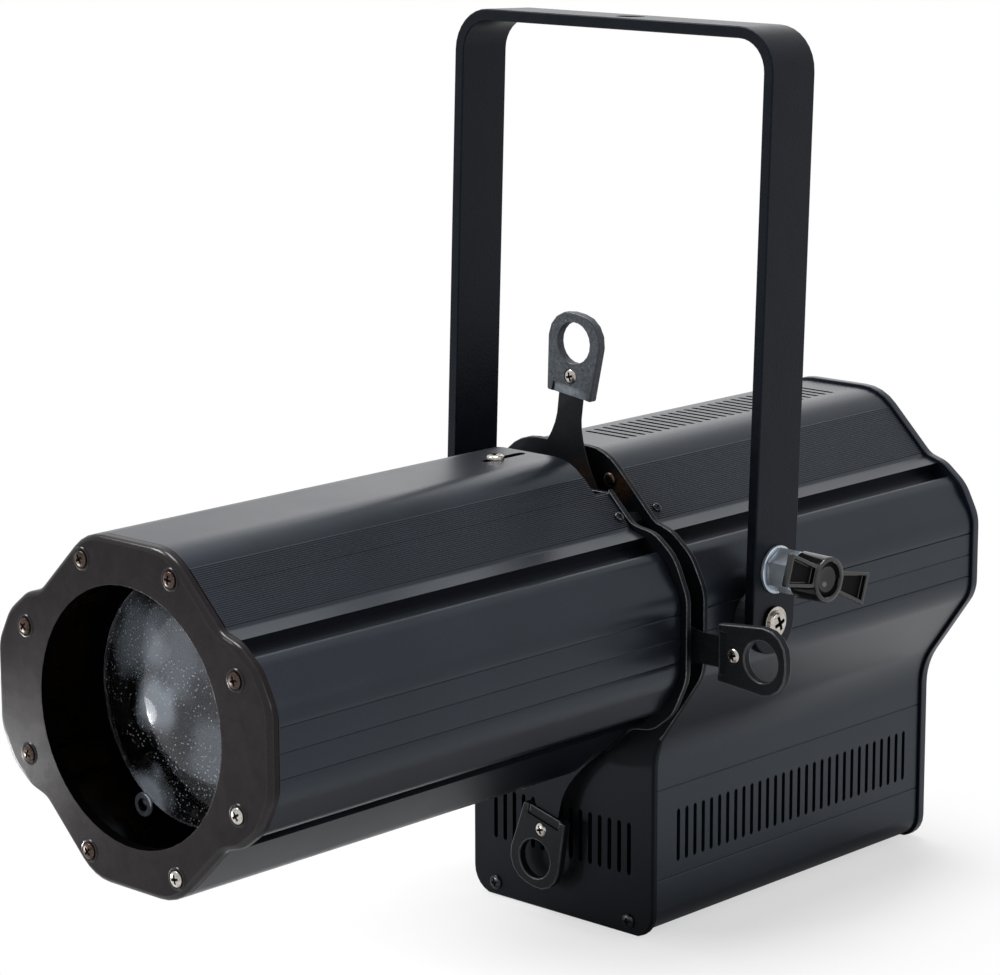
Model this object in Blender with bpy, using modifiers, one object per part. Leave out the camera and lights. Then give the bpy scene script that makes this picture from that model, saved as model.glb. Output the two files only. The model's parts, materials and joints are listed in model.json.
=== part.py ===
"""Follow spot: a profile luminaire with framing shutters on a tilting yoke.

Origin under the middle of the lower box, +Z up, the light points along -Y.
Sizes below are in millimetres; MM turns them into metres.
"""

import math

import bmesh
import bpy
from mathutils import Matrix, Vector

MM = 0.001

# Fits
SEAT = 0.3  # gap between pieces that touch
RUN = 0.4  # gap at sliding and turning fits

# Stations along the optical axis
AXIS_H = 152.0  # optical axis above the floor
BODY_LEN = 211.0  # front plate to rear panel, over all
FRONT_PLATE_T = 3.0
REAR_T = 4.5
GATE_GAP = 11.0  # open gap between the barrel flange and the body
FLANGE_T = 3.0
BARREL_LEN = 245.4
BEZEL_T = 5.0

# Section shared by the barrel and the upper body, right upper quarter
TOP_Z = 74.6
TOP_CORNER_X = 25.5
TOP_CORNER_R = 24.0
STEP_X = 55.1
STEP_Z = 45.3
BAND_X = 62.7
BAND_Z = 43.0
GROOVE_W = 8.0
GROOVE_LIP_R = 2.4
GROOVE_D = 6.5
CHEEK_X = 73.6
CHEEK_Z = 34.6
LOBE_X = 83.8
LOBE_Z = 18.6
LOBE_R = 18.0
WALL = 2.2
LINE_W = 0.9  # fine lines along the extrusions
LINE_D = 0.5
LOBE_LINE_Z = 10.8  # one above, one below and one on the middle of the lobe

# Lower box of the body
BOX_X = 55.0
NECK_Z = -60.0
NECK_R = 35.0
BOX_R = 11.0
BOX_LIFT = 1.2  # extrusion above the floor
BOX_LIP = 15.0  # turned-in edge along the bottom
BOX_LINES_Z = (-81.5, -125.0)
BASE_T = 3.0

# End plates: a smoother outline without the groove, and how far it stands proud
PLATE_STEP_R = 12.0
PLATE_BAND_X = 65.0
PLATE_BAND_Z = 42.3
PLATE_BAND_R = 14.0
PLATE_CHEEK_X = 76.2
PLATE_CHEEK_Z = 33.4
PLATE_CHEEK_R = 20.0
BEZEL_LIP = 0.0
FLANGE_LIP = 1.2
FLANGE_WIDE = 2.2  # more than that at the lobes
FRONT_LIP = 1.6
REAR_LIP = 1.5

# Notches at the rear end of the barrel, where the upper and lower blades pass
NOTCH_HALF = 40.5
NOTCH_Z = 60.0  # from the optical axis
NOTCH_L = 11.4  # in front of the rear face of the flange

# Slots
SLOT_W = 2.4
SLOT_PITCH = 6.0
SIDE_SLOTS = 30
SIDE_SLOT_H = 26.0
SIDE_SLOT_Z = -105.5
SIDE_SLOT_Y = 1.5  # middle of the row
FRONT_SLOTS = 15
FRONT_SLOT_Z = -110.5
TOP_SLOTS = 27
TOP_SLOT_PITCH = 5.95
TOP_SLOT_L = 27.0
TOP_SLOT_Y = 3.4

# Optics
MOUTH_R = 55.5
LENS_R = 54.0
LENS_EDGE = 4.0
LENS_BULGE = 13.0
LENS_DEPTH = 33.0  # lens edge behind the front of the bezel
SEAT_RING_T = 6.0
SEAT_LEDGE = 3.0
CLIP_R = 58.0
CLIP_WASHER_R = 5.0
CLIP_SCREW_R = 2.0
CLIPS = 3
FOCUS_BACK = 30.3  # focus screw in front of the end of the barrel
FOCUS_SLOT_L = 27.0
FOCUS_SLOT_W = 4.6
FOCUS_SLOT_LEAD = 8.0  # slot in front of the screw
FOCUS_SCREW_R = 2.0
FOCUS_HEAD_R = 4.0
FOCUS_HEAD_H = 2.4
FOCUS_SCREW_IN = 9.0  # screw below the roof of the barrel
FOCUS_LUG_ROOT = 4.0  # lug let into the carriage
CARRIAGE_T = 10.0
FOCUS_LENS_R = 40.0
FOCUS_LENS_EDGE = 3.0
FOCUS_LENS_BULGE = 8.0
GATE_R = 36.0
TUBE_R = 48.0
TUBE_LEN = 54.0
TUBE_WALL = 4.0
CONDENSER_EDGE = 4.0
CONDENSER_BULGE = 12.0
CONDENSER_Y = 16.0  # ledge behind the front plate

# Light engine
LED_R = 26.0
LED_T = 2.0
COB_R = 12.0
COB_T = 1.0
SINK_X = 44.0
SINK_Z = 47.0
SINK_BASE = 8.0
FIN_LEN = 46.0
FINS = 12
FIN_T = 2.2
FAN_SIDE = 80.0
FAN_T = 25.0
FAN_BORE_R = 37.5
ROTOR_HUB_R = 16.0
ROTOR_R = 36.0
ROTOR_BLADES = 7
FAN_ARM_T = 4.0

# Lower box contents
SUPPLY_X = 40.0
SUPPLY_H = 48.0
SUPPLY_LEN = 130.0
SUPPLY_Y = -25.0
BOARD_X = 36.0
BOARD_H = 46.0
BOARD_T = 1.6

# Framing shutters, measured out from the optical axis
BLADE_T = 0.8
BLADE_SPLIT = 1.6  # each pair lies this far from the middle of the gate
BLADE_TIP = 37.5
BLADE_HALF = 24.0
BLADE_WIDE_END = 57.0
BLADE_NECK_HALF = 7.2
BLADE_NECK_AT = 90.0
HANDLE_AT = 100.0
HANDLE_LEN = 38.4
HANDLE_HALF = 15.5  # across the finger hole
HANDLE_ROOT_HALF = 13.2
HANDLE_T = 4.4
HANDLE_SHOULDER_R = 6.0
HANDLE_STEP_HALF = 10.0  # step at the root of the front face
HANDLE_STEP_H = 4.6
HANDLE_STEP_D = 1.0
FINGER_R = 9.5
FINGER_AT = 24.6  # along the handle
TANG = 14.0  # blade inside the handle
HANDLE_SCREW_AT = 9.0
HANDLE_SCREW_R = 3.4
HANDLE_SCREW_SINK = 1.0
POST_AT = 45.0
POST_R = 5.0
DIVIDER_HALF = 48.0
DIVIDER_T = 0.8
# name: (turn of the slide from straight up, sideways shift, pulled out by)
SHUTTERS = {
    "top": (7.1, -0.2, 1.0),
    "right": (90.0, 5.4, -1.6),
    "bottom": (194.5, -22.7, -2.1),
    "left": (270.0, 0.0, 0.0),
}

# Yoke
PIVOT_Y = 36.9  # pivot behind the front plate of the body
SPACER_T = 6.2
SPACER_R = 14.0
YOKE_T = 5.4
YOKE_W = 30.0
YOKE_TOP = 267.5  # top of the bar above the pivot
YOKE_R = 20.0
YOKE_LEAN = 2.1  # degrees, towards the rear
CLAMP_HOLE_R = 6.5
PIVOT_R = 4.0
PIVOT_HEAD_R = 6.0
PIVOT_HEAD_H = 2.8
PIVOT_WASHER_R = 8.5
PIVOT_WASHER_T = 1.4
PIVOT_DEPTH = 8.0  # shank inside the housing
KNOB_AT = 24.6  # knob above the pivot
STUD_R = 4.0
STUD_TIP = 5.0  # stud past the inner face of the leg
FERRULE_R = 10.0
FERRULE_LEN = 7.2
FERRULE_FLANGE_R = 12.0
FERRULE_FLANGE_T = 2.0
KNOB_HUB_R = 10.6
KNOB_LEN = 23.0
KNOB_BORE_R = 7.9
KNOB_BORE_D = 9.0
KNOB_SPAN = 29.5  # wing tip from the knob's axis
KNOB_WING_ROOT = 5.2  # half height of a wing at the hub
KNOB_WING_TIP = 7.5
KNOB_WING_W = 3.2  # along the axis
KNOB_WING_SET = 0.6  # wing behind the end of the hub
KNOB_RIM = 1.8
KNOB_POCKET_D = 1.8
KNOB_TURN = -16.0  # degrees, wings from level

# Rear panel fittings, heights from the floor
DISPLAY_X = 24.0
DISPLAY_H = 8.0
DISPLAY_AT = 96.0
DISPLAY_T = 6.0
BUTTON_R = 3.5
BUTTON_PITCH = 13.0
BUTTONS = 4
BUTTON_AT = 78.0
BUTTON_OUT = 2.0
BUTTON_CAP_R = 5.0
BUTTON_CAP_T = 1.5
BUTTON_TRAVEL = 1.2
SOCKET_AT = 45.0
SOCKET_PITCH = 34.0
SOCKET_FLANGE = 14.0
SOCKET_R = 11.5
SOCKET_BORE_R = 8.6
SOCKET_BORE_D = 16.0
SOCKET_DEPTH = 22.0
SOCKET_FLANGE_T = 2.5
FUSE_AT = 20.0
FUSE_R = 6.0
FUSE_HEAD_R = 8.0
FUSE_HEAD_T = 5.0
FUSE_DEPTH = 20.0
GRILLE_SLOTS = 9
GRILLE_PITCH = 8.0
GRILLE_W = 4.0
GRILLE_R = 38.0

# Places that follow from the sizes above
Y_FRONT = -BODY_LEN / 2
Y_REAR = BODY_LEN / 2
Y_SHELL = Y_FRONT + FRONT_PLATE_T + SEAT
Y_SHELL_END = Y_REAR - REAR_T - SEAT
Y_FLANGE = Y_FRONT - GATE_GAP
Y_BARREL_END = Y_FLANGE - FLANGE_T - SEAT
Y_BARREL = Y_BARREL_END - BARREL_LEN
Y_BEZEL = Y_BARREL - SEAT - BEZEL_T
Y_GATE = (Y_FLANGE + Y_FRONT) / 2
Y_PIVOT = Y_FRONT + PIVOT_Y
X_LEG_IN = LOBE_X + SPACER_T + 2 * SEAT
X_LEG_OUT = X_LEG_IN + YOKE_T

for old in list(bpy.data.objects):
    bpy.data.objects.remove(old)

SCENE = bpy.context.scene
PARTS = bpy.data.collections.new("follow_spot")
TOOLS = bpy.data.collections.new("cutters")
SCENE.collection.children.link(PARTS)
SCENE.collection.children.link(TOOLS)
TOOLS.hide_render = True

COLOURS = {
    "coated_aluminium": ((0.035, 0.037, 0.042, 1.0), 0.6, 0.5),
    "bare_aluminium": ((0.55, 0.56, 0.58, 1.0), 0.9, 0.4),
    "coated_steel": ((0.025, 0.027, 0.03, 1.0), 0.4, 0.5),
    "dark_steel": ((0.06, 0.055, 0.05, 1.0), 0.9, 0.4),
    "nickel": ((0.65, 0.63, 0.6, 1.0), 1.0, 0.25),
    "black_plastic": ((0.02, 0.02, 0.022, 1.0), 0.0, 0.5),
    "optical_glass": ((0.85, 0.88, 0.9, 1.0), 0.0, 0.05),
    "circuit_board": ((0.03, 0.16, 0.07, 1.0), 0.0, 0.5),
}


def material(name):
    """One Principled material for each real material."""
    made = bpy.data.materials.get(name)
    if made is None:
        made = bpy.data.materials.new(name)
        made.use_nodes = True
        colour, metal, rough = COLOURS[name]
        shader = made.node_tree.nodes["Principled BSDF"]
        shader.inputs["Base Color"].default_value = colour
        shader.inputs["Metallic"].default_value = metal
        shader.inputs["Roughness"].default_value = rough
        made.diffuse_color = colour
    return made


def add(name, mesh, kind=None, parent=None):
    """Links a mesh as a named piece, or as a cutter when it has no material."""
    piece = bpy.data.objects.new(name, mesh)
    if kind:
        PARTS.objects.link(piece)
        mesh.materials.clear()
        mesh.materials.append(material(kind))
    else:
        TOOLS.objects.link(piece)
        piece.hide_render = True
        piece.display_type = "WIRE"
    if parent:
        piece.parent = parent
    return piece


def frame(name, place, turn=(0, 0, 0), parent=None):
    """An empty on a joint's axis that its pieces hang on."""
    made = bpy.data.objects.new(name, None)
    PARTS.objects.link(made)
    made.location = Vector(place) * MM
    made.rotation_euler = [math.radians(angle) for angle in turn]
    made.parent = parent
    return made


def welded(mesh):
    """Closes the seams that a filled curve leaves between caps and sides."""
    work = bmesh.new()
    work.from_mesh(mesh)
    bmesh.ops.remove_doubles(work, verts=work.verts, dist=1e-6)
    bmesh.ops.recalc_face_normals(work, faces=work.faces)
    work.to_mesh(mesh)
    work.free()
    return mesh


TO_Y = Matrix(((1, 0, 0, 0), (0, 0, 1, 0), (0, 1, 0, 0), (0, 0, 0, 1)))
TO_X = Matrix(((0, 0, 1, 0), (1, 0, 0, 0), (0, 1, 0, 0), (0, 0, 0, 1)))
TO_Z = Matrix.Identity(4)


def extruded(loops, low, high, way=TO_Y):
    """A filled outline with holes, extruded from low to high.

    Along Y the outline is read as (x, z), along X as (y, z), along Z as (x, y).
    """
    curve = bpy.data.curves.new("outline", "CURVE")
    curve.dimensions = "2D"
    curve.fill_mode = "BOTH"
    curve.extrude = (high - low) / 2 * MM
    for loop in loops:
        line = curve.splines.new("POLY")
        line.points.add(len(loop) - 1)
        for point, (u, v) in zip(line.points, loop):
            point.co = (u * MM, v * MM, 0, 1)
        line.use_cyclic_u = True
    holder = bpy.data.objects.new("outline", curve)
    TOOLS.objects.link(holder)
    graph = bpy.context.evaluated_depsgraph_get()
    mesh = bpy.data.meshes.new_from_object(holder.evaluated_get(graph))
    bpy.data.objects.remove(holder)
    middle = Matrix.Translation((0, 0, (high + low) / 2 * MM))
    mesh.transform(way @ middle)
    if way.determinant() < 0:
        mesh.flip_normals()
    return welded(mesh)


def turned(profile, steps=32, way=TO_Z, place=(0, 0, 0)):
    """A profile of (radius, height), from top to bottom, turned round its axis."""
    mesh = bpy.data.meshes.new("profile")
    closed = profile[0][0] > 0 and profile[-1][0] > 0
    edges = [(i, i + 1) for i in range(len(profile) - 1)]
    if closed:
        edges.append((len(profile) - 1, 0))
    points = [(radius * MM, 0, height * MM) for radius, height in profile]
    mesh.from_pydata(points, edges, [])
    holder = bpy.data.objects.new("profile", mesh)
    TOOLS.objects.link(holder)
    screw = holder.modifiers.new("turn", "SCREW")
    screw.axis = "Z"
    screw.steps = steps
    screw.render_steps = steps
    screw.use_merge_vertices = True
    screw.merge_threshold = 1e-5
    graph = bpy.context.evaluated_depsgraph_get()
    made = bpy.data.meshes.new_from_object(holder.evaluated_get(graph))
    bpy.data.objects.remove(holder)
    made.transform(Matrix.Translation(Vector(place) * MM) @ way)
    if way.determinant() < 0:
        made.flip_normals()
    return welded(made)


def boolean(piece, tool, operation="DIFFERENCE"):
    """Applies an exact Boolean and keeps the tool as a hidden cutter."""
    step = piece.modifiers.new(tool.name, "BOOLEAN")
    step.operation = operation
    step.solver = "EXACT"
    step.object = tool
    graph = bpy.context.evaluated_depsgraph_get()
    mesh = bpy.data.meshes.new_from_object(piece.evaluated_get(graph))
    piece.modifiers.clear()
    keep = piece.data.materials[0]
    piece.data = mesh
    mesh.materials.clear()
    mesh.materials.append(keep)
    for face in mesh.polygons:
        face.material_index = 0


def together(meshes):
    """Separate closed shells in one mesh, for a cutter that repeats."""
    work = bmesh.new()
    for mesh in meshes:
        work.from_mesh(mesh)
    made = bpy.data.meshes.new("pattern")
    work.to_mesh(made)
    work.free()
    return made


def circle(radius, count=32, u=0.0, v=0.0):
    """A ring of points that starts half a step round, so that no two outlines line up."""
    turn = 2 * math.pi / count
    spins = [(i + 0.5) * turn for i in range(count)]
    return [(u + radius * math.cos(a), v + radius * math.sin(a)) for a in spins]


def box(half_u, half_v, u=0.0, v=0.0):
    return [
        (u - half_u, v - half_v),
        (u + half_u, v - half_v),
        (u + half_u, v + half_v),
        (u - half_u, v + half_v),
    ]


def slot(length, width, u, v, upright=True, count=2):
    """A slot with round ends, along v when upright and along u otherwise."""
    half = width / 2
    reach = length / 2 - half
    points = []
    for end in (1, -1):
        for i in range(count + 1):
            angle = math.pi * i / count
            along = end * (reach + half * math.sin(angle))
            across = end * half * math.cos(angle)
            points.append((u + across, v + along) if upright else (u + along, v - across))
    return points


def up(loop, height):
    return [(u, v + height) for u, v in loop]


def rounded(corners, segments=4):
    """Points of each corner (x, z, radius) in turn, with an arc where it has a radius."""
    groups = []
    for i, (x, z, radius) in enumerate(corners):
        here = Vector((x, z))
        if radius <= 0 or i in (0, len(corners) - 1):
            groups.append([(x, z)])
            continue
        back = (Vector(corners[i - 1][:2]) - here).normalized()
        ahead = (Vector(corners[i + 1][:2]) - here).normalized()
        bend = math.pi - back.angle(ahead)
        reach = radius * math.tan(bend / 2)
        centre = here + (back + ahead).normalized() * radius / math.cos(bend / 2)
        start = here + back * reach - centre
        side = 1 if back.x * ahead.y - back.y * ahead.x < 0 else -1
        arc = []
        for k in range(segments + 1):
            spin = Matrix.Rotation(side * bend * k / segments, 2)
            point = centre + spin @ start
            arc.append((point.x, point.y))
        groups.append(arc)
    return groups


def moved_out(corners, by):
    """The same corners with every side moved out by a distance; the ends stay on their lines."""
    lines = []
    for (x0, z0, _), (x1, z1, _) in zip(corners, corners[1:]):
        along = Vector((x1 - x0, z1 - z0)).normalized()
        normal = Vector((-along.y, along.x))
        lines.append((Vector((x0, z0)) + normal * by, along))
    made = []
    for i, (x, z, radius) in enumerate(corners):
        if i == 0:
            point = lines[0][0]
        elif i == len(corners) - 1:
            start, along = lines[-1]
            point = start + along * (Vector((x, z)) - start).dot(along)
        else:
            (p, a), (q, b) = lines[i - 1], lines[i]
            cross = a.x * b.y - a.y * b.x
            reach = ((q - p).x * b.y - (q - p).y * b.x) / cross
            point = p + a * reach
            outward = cross < 0
            radius = max(radius + (by if outward else -by), 0.4) if radius else 0
        made.append((point.x, point.y, radius))
    return made


def notched(start, end, stations, width, depth):
    """Points of fine V lines cut along a straight side, at distances from its start."""
    a, b = Vector(start), Vector(end)
    along = (b - a).normalized()
    inward = Vector((along.y, -along.x))
    points = []
    for at in stations:
        middle = a + along * at
        for shift, deep in ((-width / 2, 0), (0, depth), (width / 2, 0)):
            point = middle + along * shift + inward * deep
            points.append((point.x, point.y))
    return points


def groove_corners():
    """Step, band, groove and cheek of an extrusion."""
    band = Vector((BAND_X, BAND_Z))
    cheek = Vector((CHEEK_X, CHEEK_Z))
    along = (cheek - band).normalized()
    floor = Vector((along.y, -along.x)) * GROOVE_D
    far = band + along * GROOVE_W
    return [
        (STEP_X, STEP_Z, 2.5),
        (BAND_X, BAND_Z, 0),
        (*(band + floor), 0),
        (*(far + floor), 0),
        (*far, GROOVE_LIP_R),
        (CHEEK_X, CHEEK_Z, 8.0),
    ]


def plate_corners(wide):
    """The same stretch of an end plate, without the groove and with wider lobes."""
    return [
        (STEP_X - wide / 2, STEP_Z + wide / 2, PLATE_STEP_R),
        (PLATE_BAND_X + wide, PLATE_BAND_Z + wide, PLATE_BAND_R),
        (PLATE_CHEEK_X + wide, PLATE_CHEEK_Z + wide, PLATE_CHEEK_R),
    ]


def upper_corners(grooved, wide=0.0):
    """Right upper quarter of the section, from the top to the side of the lobe."""
    return [
        (0, TOP_Z, 0),
        (TOP_CORNER_X, TOP_Z, TOP_CORNER_R),
        *(groove_corners() if grooved else plate_corners(wide)),
        (LOBE_X + wide, LOBE_Z, LOBE_R),
        (LOBE_X + wide, 0, 0),
    ]


def lower_corners():
    """Right lower half of the body's section, from the lobe to the turned-in edge."""
    bottom = BOX_LIFT - AXIS_H
    return [
        (LOBE_X, 0, 0),
        (LOBE_X, -LOBE_Z, LOBE_R),
        (BOX_X, NECK_Z, NECK_R),
        (BOX_X, bottom, BOX_R),
        (BOX_X - BOX_LIP, bottom, 0),
    ]


def flat(groups):
    return [point for group in groups for point in group]


def mirrored(half):
    """A whole outline from its right half, without the points on the middle line."""
    right = [(x, z) for x, z in half if x > 1e-6]
    left = [(-x, z) for x, z in reversed(right)]
    return [*right, *left]


def middle_line():
    """The fine line along the middle of a lobe."""
    half = LINE_W / 2
    return [(LOBE_X, half), (LOBE_X - LINE_D, 0), (LOBE_X, -half)]


def upper_points(groups, dressed):
    """The quarter's points, with a fine line along the lobe when dressed."""
    points = flat(groups[:-1])
    if dressed:
        start = groups[-2][-1]
        points += notched(start, (LOBE_X, 0), [start[1] - LOBE_LINE_Z], LINE_W, LINE_D)
    return points


def barrel_outline(out=0.0, grooved=False, dressed=False, wide=0.0):
    corners = upper_corners(grooved, wide)
    if out:
        corners = moved_out(corners, out)
    quarter = upper_points(rounded(corners), dressed)
    middle = middle_line() if dressed else []
    half = [*quarter, *middle, *((x, -z) for x, z in reversed(quarter))]
    return mirrored(half)


def barrel_bore():
    """Largest radius that fits inside the barrel."""
    loop = [Vector(point) for point in barrel_outline(-WALL, grooved=True)]
    reach = []
    for start, end in zip(loop, [*loop[1:], loop[0]]):
        along = end - start
        part = min(max(-start.dot(along) / along.length_squared, 0), 1)
        reach.append((start + along * part).length)
    return min(reach)


def body_half(out=0.0, grooved=True, dressed=False):
    """Right half of the body's section as an open line."""
    upper = upper_corners(grooved)
    lower = lower_corners()
    if out:
        upper = moved_out(upper, out)
        lower = moved_out(lower, out)
    points = upper_points(rounded(upper), dressed)
    groups = rounded(lower, 6)
    if dressed:
        end = groups[1][0]
        points += middle_line()
        points += notched((LOBE_X, 0), end, [LOBE_LINE_Z], LINE_W, LINE_D)
    points += groups[1] + groups[2]
    if dressed:
        start, end = groups[2][-1], groups[3][0]
        stations = [start[1] - height for height in BOX_LINES_Z]
        points += notched(start, end, stations, LINE_W, LINE_D)
    return points + groups[3] + groups[4]


def plate_outline(out):
    """Whole outline of a plate at an end of the body, flat on the floor."""
    edge = BOX_X - BOX_LIP
    half = [point for point in body_half(out, grooved=False) if point[0] > edge or point[1] > 0]
    half = [(x, max(z, -AXIS_H)) for x, z in half]
    half = [*half, (edge, -AXIS_H)]
    return mirrored(half)


def vents_front():
    first = -(FRONT_SLOTS - 1) / 2 * SLOT_PITCH
    return [
        slot(SIDE_SLOT_H, SLOT_W, first + i * SLOT_PITCH, FRONT_SLOT_Z) for i in range(FRONT_SLOTS)
    ]


def make_housing():
    outer = body_half(dressed=True)
    inner = body_half(-WALL)
    edge = BOX_X - BOX_LIP
    inner = [point for point in inner if not (point[1] < NECK_Z and point[0] < edge + 1e-6)]
    inner.append((edge, BOX_LIFT - AXIS_H + WALL))
    loop = mirrored([*outer, *reversed(inner)])
    mesh = extruded([up(loop, AXIS_H)], Y_SHELL, Y_SHELL_END)
    housing = add("rear_housing", mesh, "coated_aluminium")
    boolean(housing, add("cut_side_slots", side_slot_tool()))
    boolean(housing, add("cut_top_slots", top_slot_tool()))
    reach = LOBE_X + 2 * WALL
    bore = circle(PIVOT_R + RUN, 16, Y_PIVOT, AXIS_H)
    boolean(housing, add("cut_pivots", extruded([bore], -reach, reach, TO_X)))
    return housing


def side_slot_tool():
    """Upright slots through both side walls of the lower box."""
    first = SIDE_SLOT_Y - (SIDE_SLOTS - 1) / 2 * SLOT_PITCH
    reach = BOX_X + 2 * WALL
    made = []
    for i in range(SIDE_SLOTS):
        loop = slot(SIDE_SLOT_H, SLOT_W, first + i * SLOT_PITCH, SIDE_SLOT_Z + AXIS_H)
        made.append(extruded([loop], -reach, reach, TO_X))
    return together(made)


def top_slot_tool():
    """A row of cross slots through the flat of the top."""
    first = TOP_SLOT_Y - (TOP_SLOTS - 1) / 2 * TOP_SLOT_PITCH
    roof = TOP_Z + AXIS_H
    made = []
    for i in range(TOP_SLOTS):
        loop = slot(TOP_SLOT_L, SLOT_W, 0, first + i * TOP_SLOT_PITCH, upright=False)
        made.append(extruded([loop], roof - 2 * WALL, roof + WALL, TO_Z))
    return together(made)


def make_base():
    half = BOX_X - BOX_LIP - SEAT
    loop = box(half, BASE_T / 2, 0, BASE_T / 2)
    add("base_plate", extruded([loop], Y_SHELL, Y_SHELL_END), "coated_steel")


def make_front_plate():
    loops = [plate_outline(FRONT_LIP), circle(GATE_R, 28), *vents_front()]
    mesh = extruded([up(loop, AXIS_H) for loop in loops], Y_FRONT, Y_FRONT + FRONT_PLATE_T)
    add("body_front_plate", mesh, "coated_aluminium")


def button_places():
    first = -(BUTTONS - 1) / 2 * BUTTON_PITCH
    return [first + i * BUTTON_PITCH for i in range(BUTTONS)]


def grille_loops():
    """Slots of the fan grille, cut to a round field."""
    loops = []
    first = -(GRILLE_SLOTS - 1) / 2 * GRILLE_PITCH
    for i in range(GRILLE_SLOTS):
        height = first + i * GRILLE_PITCH
        width = 2 * math.sqrt(GRILLE_R**2 - height**2)
        loops.append(slot(width, GRILLE_W, 0, height + AXIS_H, upright=False))
    return loops


def make_rear_panel():
    loops = [up(plate_outline(REAR_LIP), AXIS_H)]
    loops.append(box(DISPLAY_X + SEAT, DISPLAY_H + SEAT, 0, DISPLAY_AT))
    loops += [circle(BUTTON_R + RUN, 12, x, BUTTON_AT) for x in button_places()]
    loops += [circle(SOCKET_R + SEAT, 20, i * SOCKET_PITCH, SOCKET_AT) for i in (-1, 0, 1)]
    loops.append(circle(FUSE_R + SEAT, 14, SOCKET_PITCH, FUSE_AT))
    loops += grille_loops()
    mesh = extruded(loops, Y_REAR - REAR_T, Y_REAR)
    add("rear_panel", mesh, "coated_steel")


def notch_tool():
    """A notch through the barrel's end and its flange, above and below."""
    made = []
    for side in (1, -1):
        far = side * 2 * TOP_Z
        edge = side * NOTCH_Z
        loop = box(NOTCH_HALF, abs(far - edge) / 2, 0, AXIS_H + (far + edge) / 2)
        made.append(extruded([loop], Y_FLANGE - NOTCH_L, Y_FLANGE + SEAT))
    return together(made)


def make_barrel():
    outer = up(barrel_outline(grooved=True, dressed=True), AXIS_H)
    inner = up(barrel_outline(-WALL, grooved=True), AXIS_H)
    mesh = extruded([outer, inner], Y_BARREL, Y_BARREL_END)
    barrel = add("barrel", mesh, "coated_aluminium")
    middle = Y_BARREL_END - FOCUS_BACK - FOCUS_SLOT_LEAD + FOCUS_SLOT_L / 2
    loop = slot(FOCUS_SLOT_L, FOCUS_SLOT_W, 0, middle, count=4)
    roof = TOP_Z + AXIS_H
    tool = extruded([loop], roof - 2 * WALL, roof + WALL, TO_Z)
    boolean(barrel, add("cut_focus_slot", tool))
    boolean(barrel, add("cut_barrel_notch", notch_tool()))


def make_bezel():
    loops = [barrel_outline(BEZEL_LIP), circle(MOUTH_R, 48)]
    mesh = extruded([up(loop, AXIS_H) for loop in loops], Y_BEZEL, Y_BEZEL + BEZEL_T)
    add("front_bezel", mesh, "coated_aluminium")


def make_flange():
    loops = [barrel_outline(FLANGE_LIP, wide=FLANGE_WIDE), circle(GATE_R, 28)]
    mesh = extruded([up(loop, AXIS_H) for loop in loops], Y_FLANGE - FLANGE_T, Y_FLANGE)
    flange = add("barrel_flange", mesh, "coated_aluminium")
    boolean(flange, add("cut_flange_notch", notch_tool()))


def make_divider():
    """Thin plate between the blade pairs, on four posts that tie the gate together."""
    loops = [box(DIVIDER_HALF, DIVIDER_HALF, 0, AXIS_H), circle(GATE_R, 28, 0, AXIS_H)]
    plate = extruded(loops, Y_GATE - DIVIDER_T / 2, Y_GATE + DIVIDER_T / 2)
    divider = add("gate_divider", plate, "dark_steel")
    posts = []
    for x in (-POST_AT, POST_AT):
        for z in (-POST_AT, POST_AT):
            loop = circle(POST_R, 8, x, z + AXIS_H)
            posts.append(extruded([loop], Y_FLANGE + SEAT, Y_FRONT - SEAT))
    boolean(divider, add("gate_posts", together(posts)), "UNION")


def bulged(radius, edge, bulge, steps=4):
    """From the axis to the rim of one lens face: flat, or crowned by a bulge."""
    if not bulge:
        return [(0, edge), (radius, edge)]
    across = [radius * i / steps for i in range(steps + 1)]
    return [(r, edge + bulge * (1 - (r / radius) ** 2)) for r in across]


def lens_profile(radius, edge, front=0.0, back=0.0):
    """Half section of a lens that faces +height."""
    behind = [(r, -h) for r, h in bulged(radius, edge / 2, back)]
    return [*bulged(radius, edge / 2, front), *reversed(behind)]


AHEAD = Matrix(((1, 0, 0, 0), (0, 0, -1, 0), (0, 1, 0, 0), (0, 0, 0, 1)))


def make_front_lens():
    rim = Y_BEZEL + LENS_DEPTH
    seat = rim + LENS_EDGE + SEAT
    outer = barrel_bore() - SEAT
    ring = [
        (LENS_R - SEAT_LEDGE, SEAT_RING_T),
        (LENS_R - SEAT_LEDGE, 0),
        (outer, 0),
        (outer, SEAT_RING_T),
    ]
    place = (0, seat + SEAT_RING_T, AXIS_H)
    mesh = turned(ring, 40, AHEAD, place)
    add("lens_seat_ring", mesh, "coated_aluminium")
    glass = lens_profile(LENS_R, LENS_EDGE, front=LENS_BULGE)
    place = (0, rim + LENS_EDGE / 2, AXIS_H)
    add("front_lens", turned(glass, 40, AHEAD, place), "optical_glass")
    for i in range(CLIPS):
        angle = 2 * math.pi * i / CLIPS
        x, z = CLIP_R * math.cos(angle), CLIP_R * math.sin(angle)
        make_clip(f"lens_clip_{i + 1}", (x, seat, z + AXIS_H))


def make_clip(name, place):
    """Screw with a washer that laps over the rim of the lens."""
    lap = min((CLIP_R - CLIP_WASHER_R) / LENS_R, 1)
    rise = LENS_EDGE + 2 * SEAT + LENS_BULGE * (1 - lap**2)
    profile = [
        (0, rise + 3.2),
        (2.4, rise + 2.8),
        (3.6, rise + 1.2),
        (CLIP_WASHER_R, rise + 1.2),
        (CLIP_WASHER_R, rise),
        (CLIP_SCREW_R + 1.2, rise),
        (CLIP_SCREW_R + 1.2, SEAT),
        (0, SEAT),
    ]
    add(name, turned(profile, 12, AHEAD, place), "nickel")


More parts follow.
